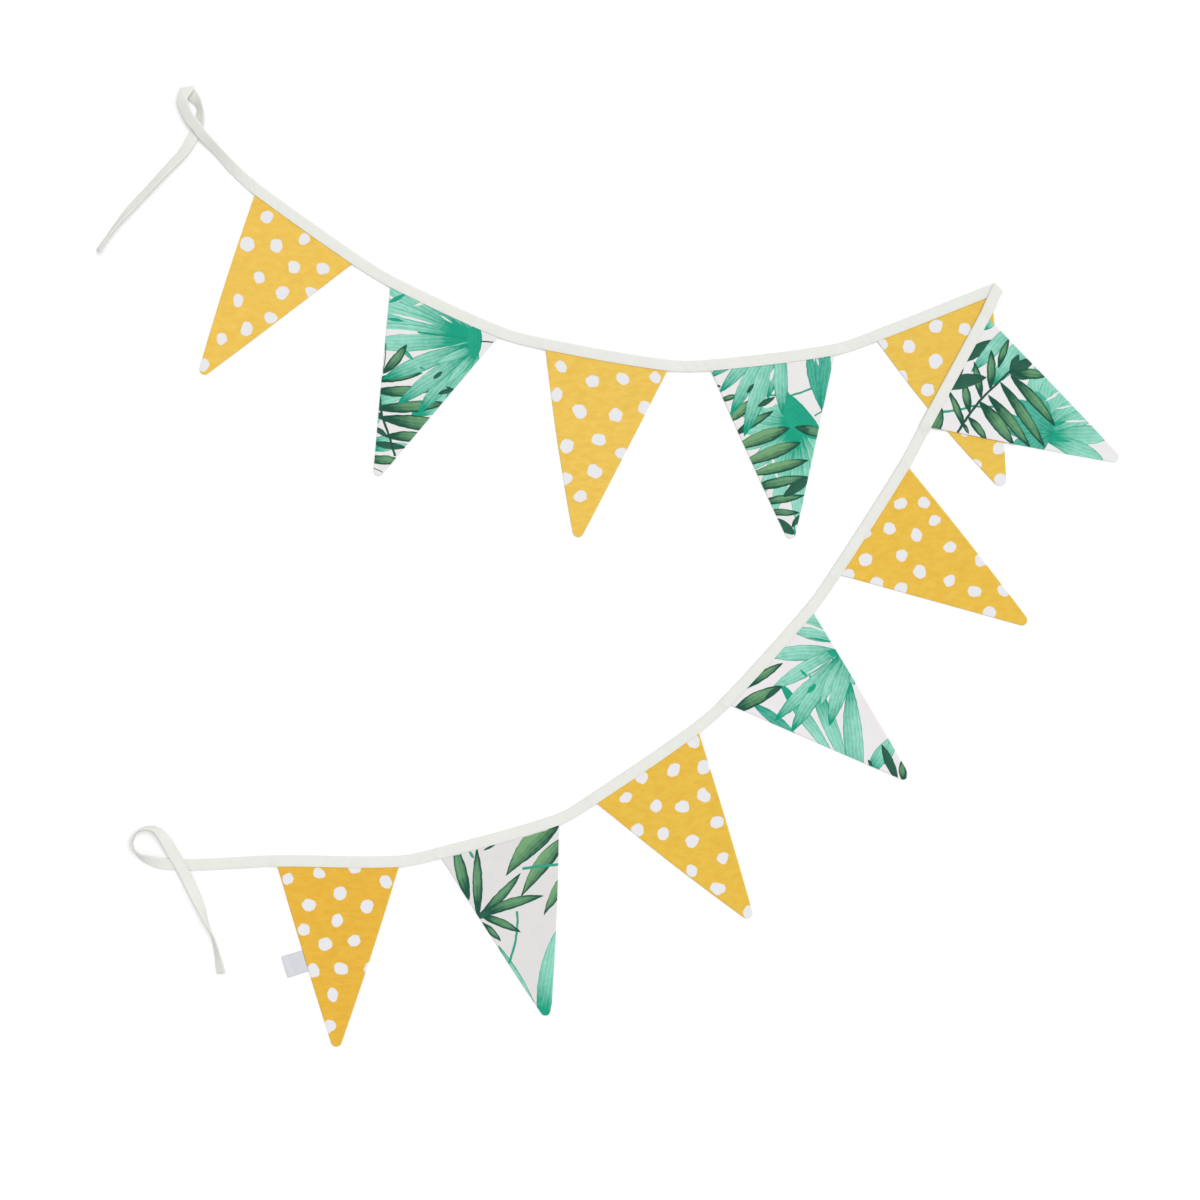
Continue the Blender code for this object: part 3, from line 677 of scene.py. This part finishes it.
dotCharts[5] = (3.136, 660, 240), ((865, 270), (955, 280), (781, 335), (865, 380), (838, 470),
    (756, 432), (692, 327), (958, 598), (1063, 655), (986, 708), (1068, 752))
dotCharts[7] = (5.227, 800, 400), ((524, 543), (649, 536), (702, 628), (468, 673), (608, 706),
    (335, 695), (341, 835), (783, 769), (533, 812), (950, 833), (624, 897), (780, 945),
    (912, 999), (1062, 997), (250, 910), (400, 957), (527, 988), (990, 1108))
dotCharts[9] = (5.227, 540, 680), ((800, 320), (697, 474), (858, 455), (532, 510), (449, 613),
    (855, 604), (609, 658), (743, 661), (925, 742), (510, 783), (645, 805), (793, 842),
    (955, 932), (793, 996), (932, 1088), (1095, 1215))
dotCharts[11] = (3.136, 100, 780), ((590, 310), (688, 292), (800, 275), (897, 318), (656, 392),
    (753, 355), (838, 396), (744, 440), (640, 470), (707, 514), (798, 503), (668, 598),
    (757, 590), (846, 590), (730, 674), (718, 772))


def pennantCloth(name, plan, printed):
    # the weave runs along the pennant's top edge, and the print's places are moved a little
    turn = -float(np.arctan2(plan["along"][1], plan["along"][0]))
    material, tree, place, woven = wovenMaterial(name, turn, 0.5, printed["slub"])
    moved = putGroup(tree, groups["wobble"], place=place, size=printed["edgeSize"],
                     reach=printed["edgeReach"])["place"]
    return material, tree, place, woven, moved


def mustardMaterial(number, plan):
    material, tree, place, woven, moved = pennantCloth(f"mustardDots{number:02d}", plan, mustard)
    draw = np.random.default_rng(number)
    view, chart = dotCharts[number]
    total = None
    for x, y in fromPhoto(chart, view):
        mask = putGroup(tree, groups["dot"], place=moved, centre=(x, y, 0.0),
                        radius=mustard["radius"] * draw.uniform(0.9, 1.12),
                        turn=draw.uniform(0.0, np.pi), oval=draw.uniform(1.0, 1.12))["mask"]
        total = mask if total is None else calc(tree, "MAXIMUM", total, mask)
    pale = mustard["pale"][number]
    deep = tuple(v * k for v, k in zip(pale, mustard["deepening"]))
    mottle = noiseAt(tree, vecCalc(tree, "MULTIPLY", place, (0.5, 1.0, 1.0)), 0.16, 3.0, 0.6)
    mottle = between(tree, mottle, 0.35, 0.65, 0.0, mustard["mottle"])
    ground = blendColour(tree, mottle, pale, deep)
    ground = vecCalc(tree, "SCALE", ground, None, None, woven["tone"])
    return finishCloth(material, blendColour(tree, total, ground, mustard["dot"]), woven["height"])


# Leaf print. Each paint has a pale and a deep colour, and how deep it gets at a blade's
# outline (edge, over the width rim), base, tip, one side, and in its streaks
paintParts = ("pale", "deep", "edge", "rim", "root", "point", "shade", "streak")
paints = {name: dict(zip(paintParts, row)) for name, row in {
    "mint": ((0.33, 0.7, 0.57), (0.008, 0.33, 0.205), 0.7, 1.3, 2.0, 0.2, 0.1, 0.9),
    "pale": ((0.33, 0.7, 0.57), (0.008, 0.3, 0.19), 0.7, 1.3, 0.8, 0.3, 0.14, 1.0),
    "tipped": ((0.33, 0.7, 0.57), (0.006, 0.3, 0.19), 0.7, 1.3, 0.9, 1.3, 0.14, 1.0),
    "dipped": ((0.33, 0.7, 0.57), (0.006, 0.3, 0.19), 0.7, 1.3, 1.7, 1.3, 0.14, 1.0),
    "hub": ((0.016, 0.36, 0.225), (0.004, 0.27, 0.165), 0.2, 1.5, 0.0, 0.0, 0.2, 1.5),
    "teal": ((0.085, 0.43, 0.315), (0.006, 0.27, 0.18), 0.6, 1.3, 0.8, 0.2, 0.15, 2.2),
    "sage": ((0.165, 0.385, 0.19), (0.011, 0.085, 0.052), 0.9, 2.8, 1.8, 1.1, -0.3, 0.9),
    "broad": ((0.17, 0.365, 0.175), (0.011, 0.085, 0.052), 0.9, 2.4, 0.45, 1.1, -0.75, 1.0),
    "deep": ((0.028, 0.125, 0.08), (0.008, 0.055, 0.038), 0.4, 1.5, 0.5, 0.5, 0.15, 0.9)}.items()}
leafPrint = {"slub": 0.10, "edgeSize": 7.0, "edgeReach": 1.6, "peak": 0.95, "broadPeak": 1.3,
             "fanPeak": 1.35, "fanBend": 5,
             "ground": {2: (0.775, 0.755, 0.75), 4: (0.775, 0.76, 0.75), 6: (0.78, 0.765, 0.77),
                        8: (0.785, 0.755, 0.775), 10: (0.705, 0.692, 0.68)}}
# in an enlarged view of the photo (scale, left, top), a leaf or stem has its base, tip, half
# width and any bend, and a fan its hub, and then the tip and half width of each blade. Later
# ones lie on top, and those of the paint "bare" are gaps
leafCharts = {}
leafCharts[2] = (7.467, 360, 270), (
    ("leaf mint", (60, 1005, 345, 930, 44, 6), (380, 1090, 740, 920, 60),
     (40, 1285, 330, 1235, 24), (60, 1345, 355, 1300, 30), (90, 1175, 165, 1060, 24)),
    ("leaf sage", (100, 832, 470, 770, 36, 4), (90, 905, 560, 890, 42, -8),
     (105, 1035, 660, 995, 44, -6), (130, 1100, 760, 1180, 54, -4),
     (180, 1240, 560, 1255, 40, 4), (20, 1405, 330, 1425, 36, -4)),
    ("fan mint", (880, 520), (790, 900, 52), (560, 200, 44), (400, 120, 50), (70, 40, 62),
     (40, 180, 46), (30, 255, 40), (30, 330, 38), (30, 410, 42), (20, 550, 66)),
    ("leaf mint", (905, 532, 575, 612, 26)),
    ("fan dipped", (900, 530), (640, 990, 46), (433, 1072, 56), (280, 1000, 58), (168, 815, 62)),
    ("leaf mint", (910, 560, 560, 700, 34), (900, 580, 640, 860, 34)),
    ("leaf hub", (852, 362, 862, 670, 56)),
    ("leaf bare", (120, 450, 480, 474, 18), (600, 340, 690, 398, 7), (775, 362, 835, 428, 8),
     (405, 268, 500, 238, 10), (225, 322, 560, 408, 9)),
    ("stem hub", (430, 466, 800, 512, 7, 4)),
    ("stem deep", (905, 537, 1003, 541, 5, 3)),
    ("leaf hub", (215, 245, 345, 178, 17)),
    ("leaf teal", (320, 595, 398, 672, 17)),
    ("leaf hub", (200, 362, 330, 385, 14)),
    ("leaf teal", (445, 728, 490, 748, 10)),
    ("leaf sage", (172, 775, 352, 556, 38, -8)),
    ("stem deep", (195, 550, 175, 760, 4, 3)),
    ("leaf deep", (85, 1288, 355, 1328, 27, -4), (105, 1172, 205, 1245, 22),
     (128, 1060, 175, 1112, 15), (548, 812, 617, 758, 16), (585, 925, 700, 888, 20),
     (640, 868, 700, 895, 8)),
    ("stem deep", (148, 950, 165, 1095, 9), (165, 1095, 262, 1388, 9, 4)),
    ("stem sage", (92, 1480, 168, 1510, 4, 4)))
leafCharts[4] = (7.841, 700, 345), (
    ("fan teal", (955, 525), (845, 40, 44), (925, 30, 44), (1005, 35, 44)),
    ("leaf bare", (912, 85, 930, 168, 7)),
    ("fan mint", (760, 600), (960, 850, 56), (900, 1040, 58), (845, 1240, 54), (765, 1420, 54),
     (565, 1350, 52), (470, 1190, 58), (385, 985, 64), (320, 820, 64), (300, 670, 62),
     (320, 545, 60), (420, 430, 52), (590, 320, 60)),
    ("leaf hub", (570, 318, 975, 730, 60), (640, 500, 930, 740, 70)),
    ("leaf bare", (465, 478, 630, 418, 40), (560, 860, 610, 1060, 14)),
    ("stem teal", (490, 388, 700, 396, 8, -4), (690, 400, 882, 335, 8, -6),
     (895, 557, 955, 522, 6)),
    ("leaf sage", (140, 440, 300, 395, 24)),
    ("leaf broad", (205, 620, 420, 430, 42)),
    ("leaf sage", (260, 715, 580, 515, 34, 6)),
    ("leaf broad", (215, 835, 705, 648, 54, 4), (265, 965, 795, 762, 52, 4),
     (330, 1035, 850, 903, 44, 2)),
    ("leaf sage", (390, 1128, 845, 1032, 42, 2), (445, 1240, 825, 1180, 34),
     (500, 1308, 785, 1318, 29), (742, 645, 1010, 720, 40, 8)),
    ("leaf deep", (740, 645, 860, 668, 16), (655, 1190, 880, 1030, 42, 6),
     (585, 1360, 750, 1485, 40, -6), (718, 1432, 780, 1335, 20)),
    ("stem teal", (738, 1420, 752, 1510, 8)),
    ("fan tipped", (625, -150), (60, 262, 44), (150, 378, 52), (530, 425, 52), (238, 552, 58),
     (345, 718, 66), (645, 550, 56)),
    ("leaf bare", (548, 285, 580, 185, 12)),
    ("leaf deep", (370, 380, 422, 302, 16), (450, 486, 588, 408, 23), (130, 318, 165, 330, 10)))
leafCharts[6] = (7.649, 920, 280), (
    ("leaf mint", (475, 385, 590, 290, 32)),
    ("leaf deep", (320, 628, 560, 460, 46, 4)),
    ("leaf tipped", (745, 300, 388, 705, 54, 8), (880, 400, 548, 805, 78, -6)),
    ("leaf sage", (595, 675, 682, 448, 29, 6)),
    ("fan mint", (900, 1190), (900, 640, 78), (1020, 700, 78), (1150, 780, 76), (1270, 890, 74),
     (1370, 1010, 66), (1500, 1175, 74), (1400, 1375, 66)),
    ("fan teal", (1015, 1180), (885, 850, 60), (815, 870, 60), (755, 915, 60), (715, 980, 60),
     (685, 1060, 60), (660, 1150, 60), (700, 1260, 60), (790, 1350, 66)),
    ("leaf bare", (955, 930, 1085, 845, 10), (1090, 1083, 1285, 1078, 8),
     (1030, 988, 1180, 958, 7)),
    ("leaf hub", (985, 1130, 1120, 1075, 16), (960, 1215, 1160, 1235, 14)),
    ("stem teal", (160, 1010, 400, 965, 10, -8), (400, 965, 560, 970, 9, -4),
     (600, 980, 740, 1048, 9, -6)),
    ("leaf sage", (45, 1230, 165, 980, 64), (450, 930, 715, 1265, 50, 8),
     (515, 880, 845, 1290, 42, 8), (608, 780, 955, 1285, 43, 8), (688, 730, 1035, 1120, 43, 12),
     (365, 1045, 510, 1230, 32, 4), (325, 1095, 372, 1180, 16), (340, 1145, 212, 838, 28, -6),
     (376, 1020, 334, 775, 34), (466, 910, 410, 625, 31, -4), (534, 838, 543, 535, 35, -4)),
    ("stem deep", (285, 1170, 460, 920, 10, 6), (460, 920, 700, 690, 9, 4)),
    ("leaf deep", (135, 830, 508, 746, 56, 10), (300, 735, 328, 645, 16),
     (675, 712, 885, 600, 44), (690, 708, 755, 570, 32), (680, 712, 850, 745, 34)),
    ("leaf sage", (720, 718, 975, 735, 40, 8)))
leafCharts[8] = (8.041, 720, 600), (
    ("leaf teal", (262, 830, 600, 1072, 42)),
    ("leaf mint", (470, 650, 910, 1260, 50), (720, 600, 1020, 1345, 62)),
    ("leaf tipped", (1125, 1560, 1045, 650, 78, 16)),
    ("leaf mint", (1190, 1420, 1370, 1105, 58), (1320, 1320, 1410, 1090, 40)),
    ("leaf pale", (990, 245, 480, 65, 60), (1010, 318, 560, 238, 54), (890, 390, 1085, 685, 54),
     (960, 412, 335, 440, 64), (965, 395, 412, 716, 62)),
    ("fan tipped", (970, 430), (436, 972, 54), (572, 1062, 60)),
    ("leaf pale", (985, 440, 800, 860, 40)),
    ("leaf tipped", (1040, 440, 878, 1012, 66)),
    ("leaf bare", (640, 178, 850, 250, 9)),
    ("leaf hub", (700, 300, 900, 335, 9), (860, 410, 970, 450, 26)),
    ("leaf bare", (690, 598, 840, 508, 6)),
    ("leaf hub", (772, 672, 698, 752, 20), (645, 560, 700, 620, 10)),
    ("leaf sage", (205, 714, 508, 506, 36, 10), (90, 905, 502, 690, 54, 6)),
    ("leaf deep", (360, 790, 500, 692, 20), (1428, 1455, 1298, 1160, 36),
     (1190, 1282, 1226, 1342, 14)),
    ("leaf sage", (1480, 1465, 1455, 1290, 32)))
leafCharts[10] = (7.652, 435, 815), (
    ("leaf sage", (262, 655, 150, 215, 46, 4)),
    ("leaf broad", (540, 468, 965, 40, 80, 34), (652, 636, 1015, 160, 60, 24),
     (828, 772, 1040, 410, 44, 4)),
    ("stem bare", (540, 188, 860, 88, 24), (100, 300, 240, 268, 22)),
    ("leaf deep", (372, 270, 462, 224, 10)),
    ("leaf teal", (298, 330, 262, 275, 14)),
    ("leaf mint", (815, 1660, 925, 885, 68, 14)),
    ("leaf pale", (480, 992, 765, 1448, 27)),
    ("stem teal", (668, 410, 955, 378, 11, 4), (628, 735, 560, 1140, 9, 26)),
    ("leaf sage", (330, 790, 322, 248, 39), (330, 780, 657, 443, 36, -12),
     (330, 780, 832, 618, 41, 22), (330, 760, 658, 896, 33, 8), (360, 818, 508, 966, 25)),
    ("leaf deep", (310, 795, 430, 725, 26)))


def chartLines(chart):
    # base, tip, half width, bend and peak of each line: a fan is one leaf for each of its
    # blades, widest nearer to the tip, and bowed by turns to either side
    for name, *rows in chart:
        kind, paint = name.split()
        if kind == "fan":
            for k, (x, y, width) in enumerate(rows[1:]):
                bend = leafPrint["fanBend"] * (-1) ** k
                yield "leaf", paint, rows[0], (x, y), width, bend, leafPrint["fanPeak"]
        else:
            peak = leafPrint["broadPeak" if paint == "broad" else "peak"]
            for x, y, tipX, tipY, width, *bend in rows:
                yield kind, paint, (x, y), (tipX, tipY), width, sum(bend), peak


def leafMaterial(number, plan):
    material, tree, place, woven, moved = pennantCloth(f"leafPrint{number:02d}", plan, leafPrint)
    spread = {"grain": noiseAt(tree, place, 0.04, 1.0),
              "mottle": noiseAt(tree, place, 0.13, 3.0, 0.6)}
    view, chart = leafCharts[number]
    size = photo["pixel"] / view[0]
    colour = leafPrint["ground"][number]
    bare = {**paints["mint"], "pale": colour, "deep": colour}
    for kind, paint, base, tip, width, bend, peak in chartLines(chart):
        given = dict(bare if paint == "bare" else paints[paint], peak=peak, **spread)
        if kind == "stem":
            given = {"pale": given["pale"], "deep": given["deep"]}
        base, tip = ((*fromPhoto(end, view), 0.0) for end in (base, tip))
        colour = putGroup(tree, groups[kind], under=colour, place=moved, base=base, tip=tip,
                          width=width * size, bend=bend * size, **given)["colour"]
    return finishCloth(material, colour, woven["height"], woven["tone"])


def pennantSurface(number, run, first, plan):
    # a place across c (-1 to 1) and down r (from inside the slot to the tip) lies on the line
    # from the slot's mouth to the apex, pushed sideways by bulge * 4f(1-f), and drawn in to
    # the chord of the tip's circle below the tangent; the two layers are half a thickness
    # above and below, drawn together by a quarter circle at the rim
    edge = np.linspace(0.0, 1.0, pennants["halfColumns"] + 1)
    across = np.concatenate((edge**2 - 1.0, (1.0 - edge**2)[::-1][1:]))
    radius, sharp, half = pennants["tipRadius"], plan["sharp"], plan["half"]
    drop, _, earlier, later = pennantShapes[number]
    halfAngle = np.arctan(half / sharp)
    centre = drop - radius
    tangent = centre + radius * np.sin(halfAngle)
    bodyRows = np.linspace(0.0, tangent, int(tangent / pennants["rowStep"]))
    turn = np.linspace(halfAngle, 0.5 * np.pi, pennants["tipRows"])[1:]
    tucked = (-pennants["tuckDepth"], -6.0, -3.0, -1.0)
    down = np.concatenate((tucked, bodyRows, centre + radius * np.sin(turn)))
    r, c = down[:, None], across[None, :]
    inside = np.maximum(-r, 0.0)[..., None]         # how far a row is inside the slot
    mouth, inward = holderLine(run, first, 0.5 * (across + 1.0))
    f = np.maximum(r, 0.0) / sharp
    chord = np.sqrt(np.maximum(radius**2 - (r - centre) ** 2, 0.0))
    narrowing = np.where(r > tangent, chord / np.maximum(half * (1 - f), 1e-6), 1.0)
    spine = plan["middle"] * (1 - f[..., None]) + plan["apex"] * f[..., None]
    place = mouth * (1 - f[..., None]) + plan["apex"] * f[..., None]
    push = 4 * f * (1 - f) * (later * (1 + c) - earlier * (1 - c)) / 2
    place = place + plan["along"] * push[..., None]
    place = spine + (place - spine) * narrowing[..., None] + inward * inside
    # flat size: the width at the slot's mouth, the length with the part inside the slot, and
    # the widths of the rows summed down the length as trapezia
    widths = np.linalg.norm((place[:, -1] - place[:, 0])[:, :2], axis=1)
    area = np.sum(0.5 * (widths[1:] + widths[:-1]) * np.diff(down))
    length = drop + pennants["tuckDepth"]
    flat = round(2 * half * mm, 3), round(length * mm, 3), round(area * mm**2, 4)

    toSide = (1 - np.abs(c)) * half * (1 - f) * narrowing * np.cos(halfAngle)
    toTip = np.where(r > centre, radius - np.hypot(c * chord, r - centre), 1e3)
    toRim = np.minimum(toSide, np.maximum(toTip, 0.0))
    added = pennants["thickness"] - pennants["tucked"]
    thick = pennants["tucked"] + added * ease((r - 1) / pennants["thickening"])
    rim = np.sqrt(1 - (1 - np.clip(toRim / pennants["rim"], 0, 1)) ** 2)
    fromSeam = (toRim - pennants["seamPlace"]) / pennants["seamWidth"]
    seam = pennants["seam"] * np.exp(-(fromSeam**2))
    gather = (pennants["gather"] * np.exp(-toRim / pennants["gatherReach"])
              * ripple(r, c * 3, pennants["gatherSize"], number)
              * ease(r / pennants["gatherStart"]))
    hollow = pennants["hollow"] * ease(toRim / pennants["hollowReach"])
    halfThick = 0.5 * thick * rim * (1 + seam - hollow + gather)

    landing = ease((r - 1) / pennants["landing"])
    rest = 0.5 * pennants["thickness"] + (support(place[..., :2], 0.0) if number == 6 else 0.0)
    sway = pennants["heldSway" if number in (5, 6) else "sway"]
    waves = ripple(place[..., 0], place[..., 1], pennants["swaySize"], 20 + number)
    soft = sway * (0.5 + 0.5 * np.tanh(waves))
    level = (mouth + inward * inside)[..., 2] * (1 - landing) + (rest + soft) * landing
    high, low = place.copy(), place.copy()
    high[..., 2] = level + halfThick
    low[..., 2] = np.maximum(level - halfThick, lowest)
    loop = np.concatenate((high, low[:, 1:-1][:, ::-1]), axis=1)
    uv = np.concatenate((loop[..., :2], loop[:, :1, :2]), axis=1)
    return loop, uv, flat


def makePennant(number, run, first):
    plan = pennantPlan(number, run, first)
    points, uv, (width, length, area) = pennantSurface(number, run, first, plan)
    dotted = number % 2 == 1
    material = mustardMaterial(number, plan) if dotted else leafMaterial(number, plan)
    piece = gridMesh(f"pennant_{number:02d}_cloth", points, uv, material)
    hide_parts(f"pennant_{number:02d}")
    print("pennant", number, "made:", width, "x", length, "m,", area, "m2 in one layer")
    return plan


plans = {}
for number in range(1, 12):
    run, held = (upper, upperHeld) if number in upperHeld else (lower, lowerHeld)
    plans[number] = makePennant(number, run, held[number])

# Label: a ribbon folded once, its ends in the last pennant's side seam, its face left bare
label = {"width": 24.0, "reach": 23.7, "place": 109.0, "wall": 0.5, "slot": 0.3, "gap": 0.3,
         "colour": (0.63, 0.635, 0.68), "curl": 1.2, "ripple": 0.12, "foldDepth": 0.8,
         "flatSteps": 14, "foldSteps": 7, "rows": 25, "roughness": 0.55, "bump": 0.15}


def makeLabel():
    # the same folded profile, carried straight along the seam, its fold curled up a little
    plan = plans[11]
    down = unit((plan["apex"] - plan["last"]) * (1, 1, 0))
    outward = np.array((down[1], -down[0], 0.0))
    outward = -outward if outward @ (plan["last"] - plan["first"]) < 0 else outward
    seam = plan["last"] * (1, 1, 0) + down * label["place"]
    f = label["place"] / plan["sharp"]
    bulge = 4 * f * (1 - f) * pennantShapes[11][3]
    middle = seam + outward * (label["gap"] + bulge + 0.5 * label["reach"])
    middle[2] = label["wall"] + 0.5 * label["slot"]
    many = label["rows"]
    along = np.linspace(-0.5, 0.5, many) * label["width"]
    run = {"middle": middle + down * along[:, None], "across": np.tile(outward, (many, 1)),
           "face": np.tile((0.0, 0.0, 1.0), (many, 1)), "stretch": np.ones(many),
           "slot": np.full(many, label["slot"])}
    profile = foldProfile(label["reach"], label["wall"], label["foldDepth"],
                          label["flatSteps"], label["foldSteps"])
    across = profile[None, :, 0]
    relief = (label["curl"] * ease((across + 2.0) / (0.5 * label["reach"])) ** 2
              + label["ripple"] * ripple(along[:, None], across, 16.0, 40))
    material, _, _, woven = wovenMaterial("labelRibbon", 0.0, 0.4, 0.05, (1.0, 0.35, 1.0))
    finishCloth(material, label["colour"], woven["height"], woven["tone"], label["roughness"],
                label["bump"])
    piece = foldedStrip("label_ribbon_folded", run, along, profile, label["wall"], relief,
                        0 * across, material)
    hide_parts("side_label")
    return piece


makeLabel()
print("label made")

# Floor, lights and camera
studio = {"floor": (0.95, 0.95, 0.95), "half": 6, "below": 0.0002, "world": 0.58, "sun": 1.70,
          "sunFrom": (0.36, 0.32, 1.40), "sunAngle": 42.0, "lens": 85.0, "sensor": 36.0}


def makeStudio():
    # the camera looks straight down from the height at which its lens takes in the whole photo
    mesh = bpy.data.meshes.new("floor")
    corners = [(x * studio["half"], y * studio["half"], -studio["below"])
               for x, y in ((-1, -1), (1, -1), (1, 1), (-1, 1))]
    mesh.from_pydata(corners, [], [(0, 1, 2, 3)])
    mesh.materials.append(plainMaterial("paleFloor", studio["floor"], 0.985, 3.0, 0.95, 0.0))
    floor = linked("floor", mesh)

    world = bpy.data.worlds.new("softStudio")
    world.use_nodes = True
    background = world.node_tree.nodes["Background"].inputs
    background["Color"].default_value = (1.0, 1.0, 1.0, 1.0)
    background["Strength"].default_value = studio["world"]
    bpy.context.scene.world = world

    light = bpy.data.lights.new("softSun", "SUN")
    light.energy = studio["sun"]
    light.angle = np.radians(studio["sunAngle"])
    sun = linked("softSun", light)
    sun.rotation_euler = (-Vector(studio["sunFrom"])).to_track_quat("-Z", "Y").to_euler()

    camera = bpy.data.cameras.new("camera")
    camera.lens, camera.sensor_width = studio["lens"], studio["sensor"]
    eye = linked("camera", camera)
    half = 0.5 * photo["size"]
    eye.location = Vector((half - photo["middle"][0], photo["middle"][1] - half,
                           photo["size"] * studio["lens"] / studio["sensor"])) * photo["pixel"] * mm
    bpy.context.scene.camera = eye
    bpy.context.scene.view_settings.view_transform = "Standard"


makeStudio()
print("floor, lights and camera placed")

bpy.context.view_layer.update()
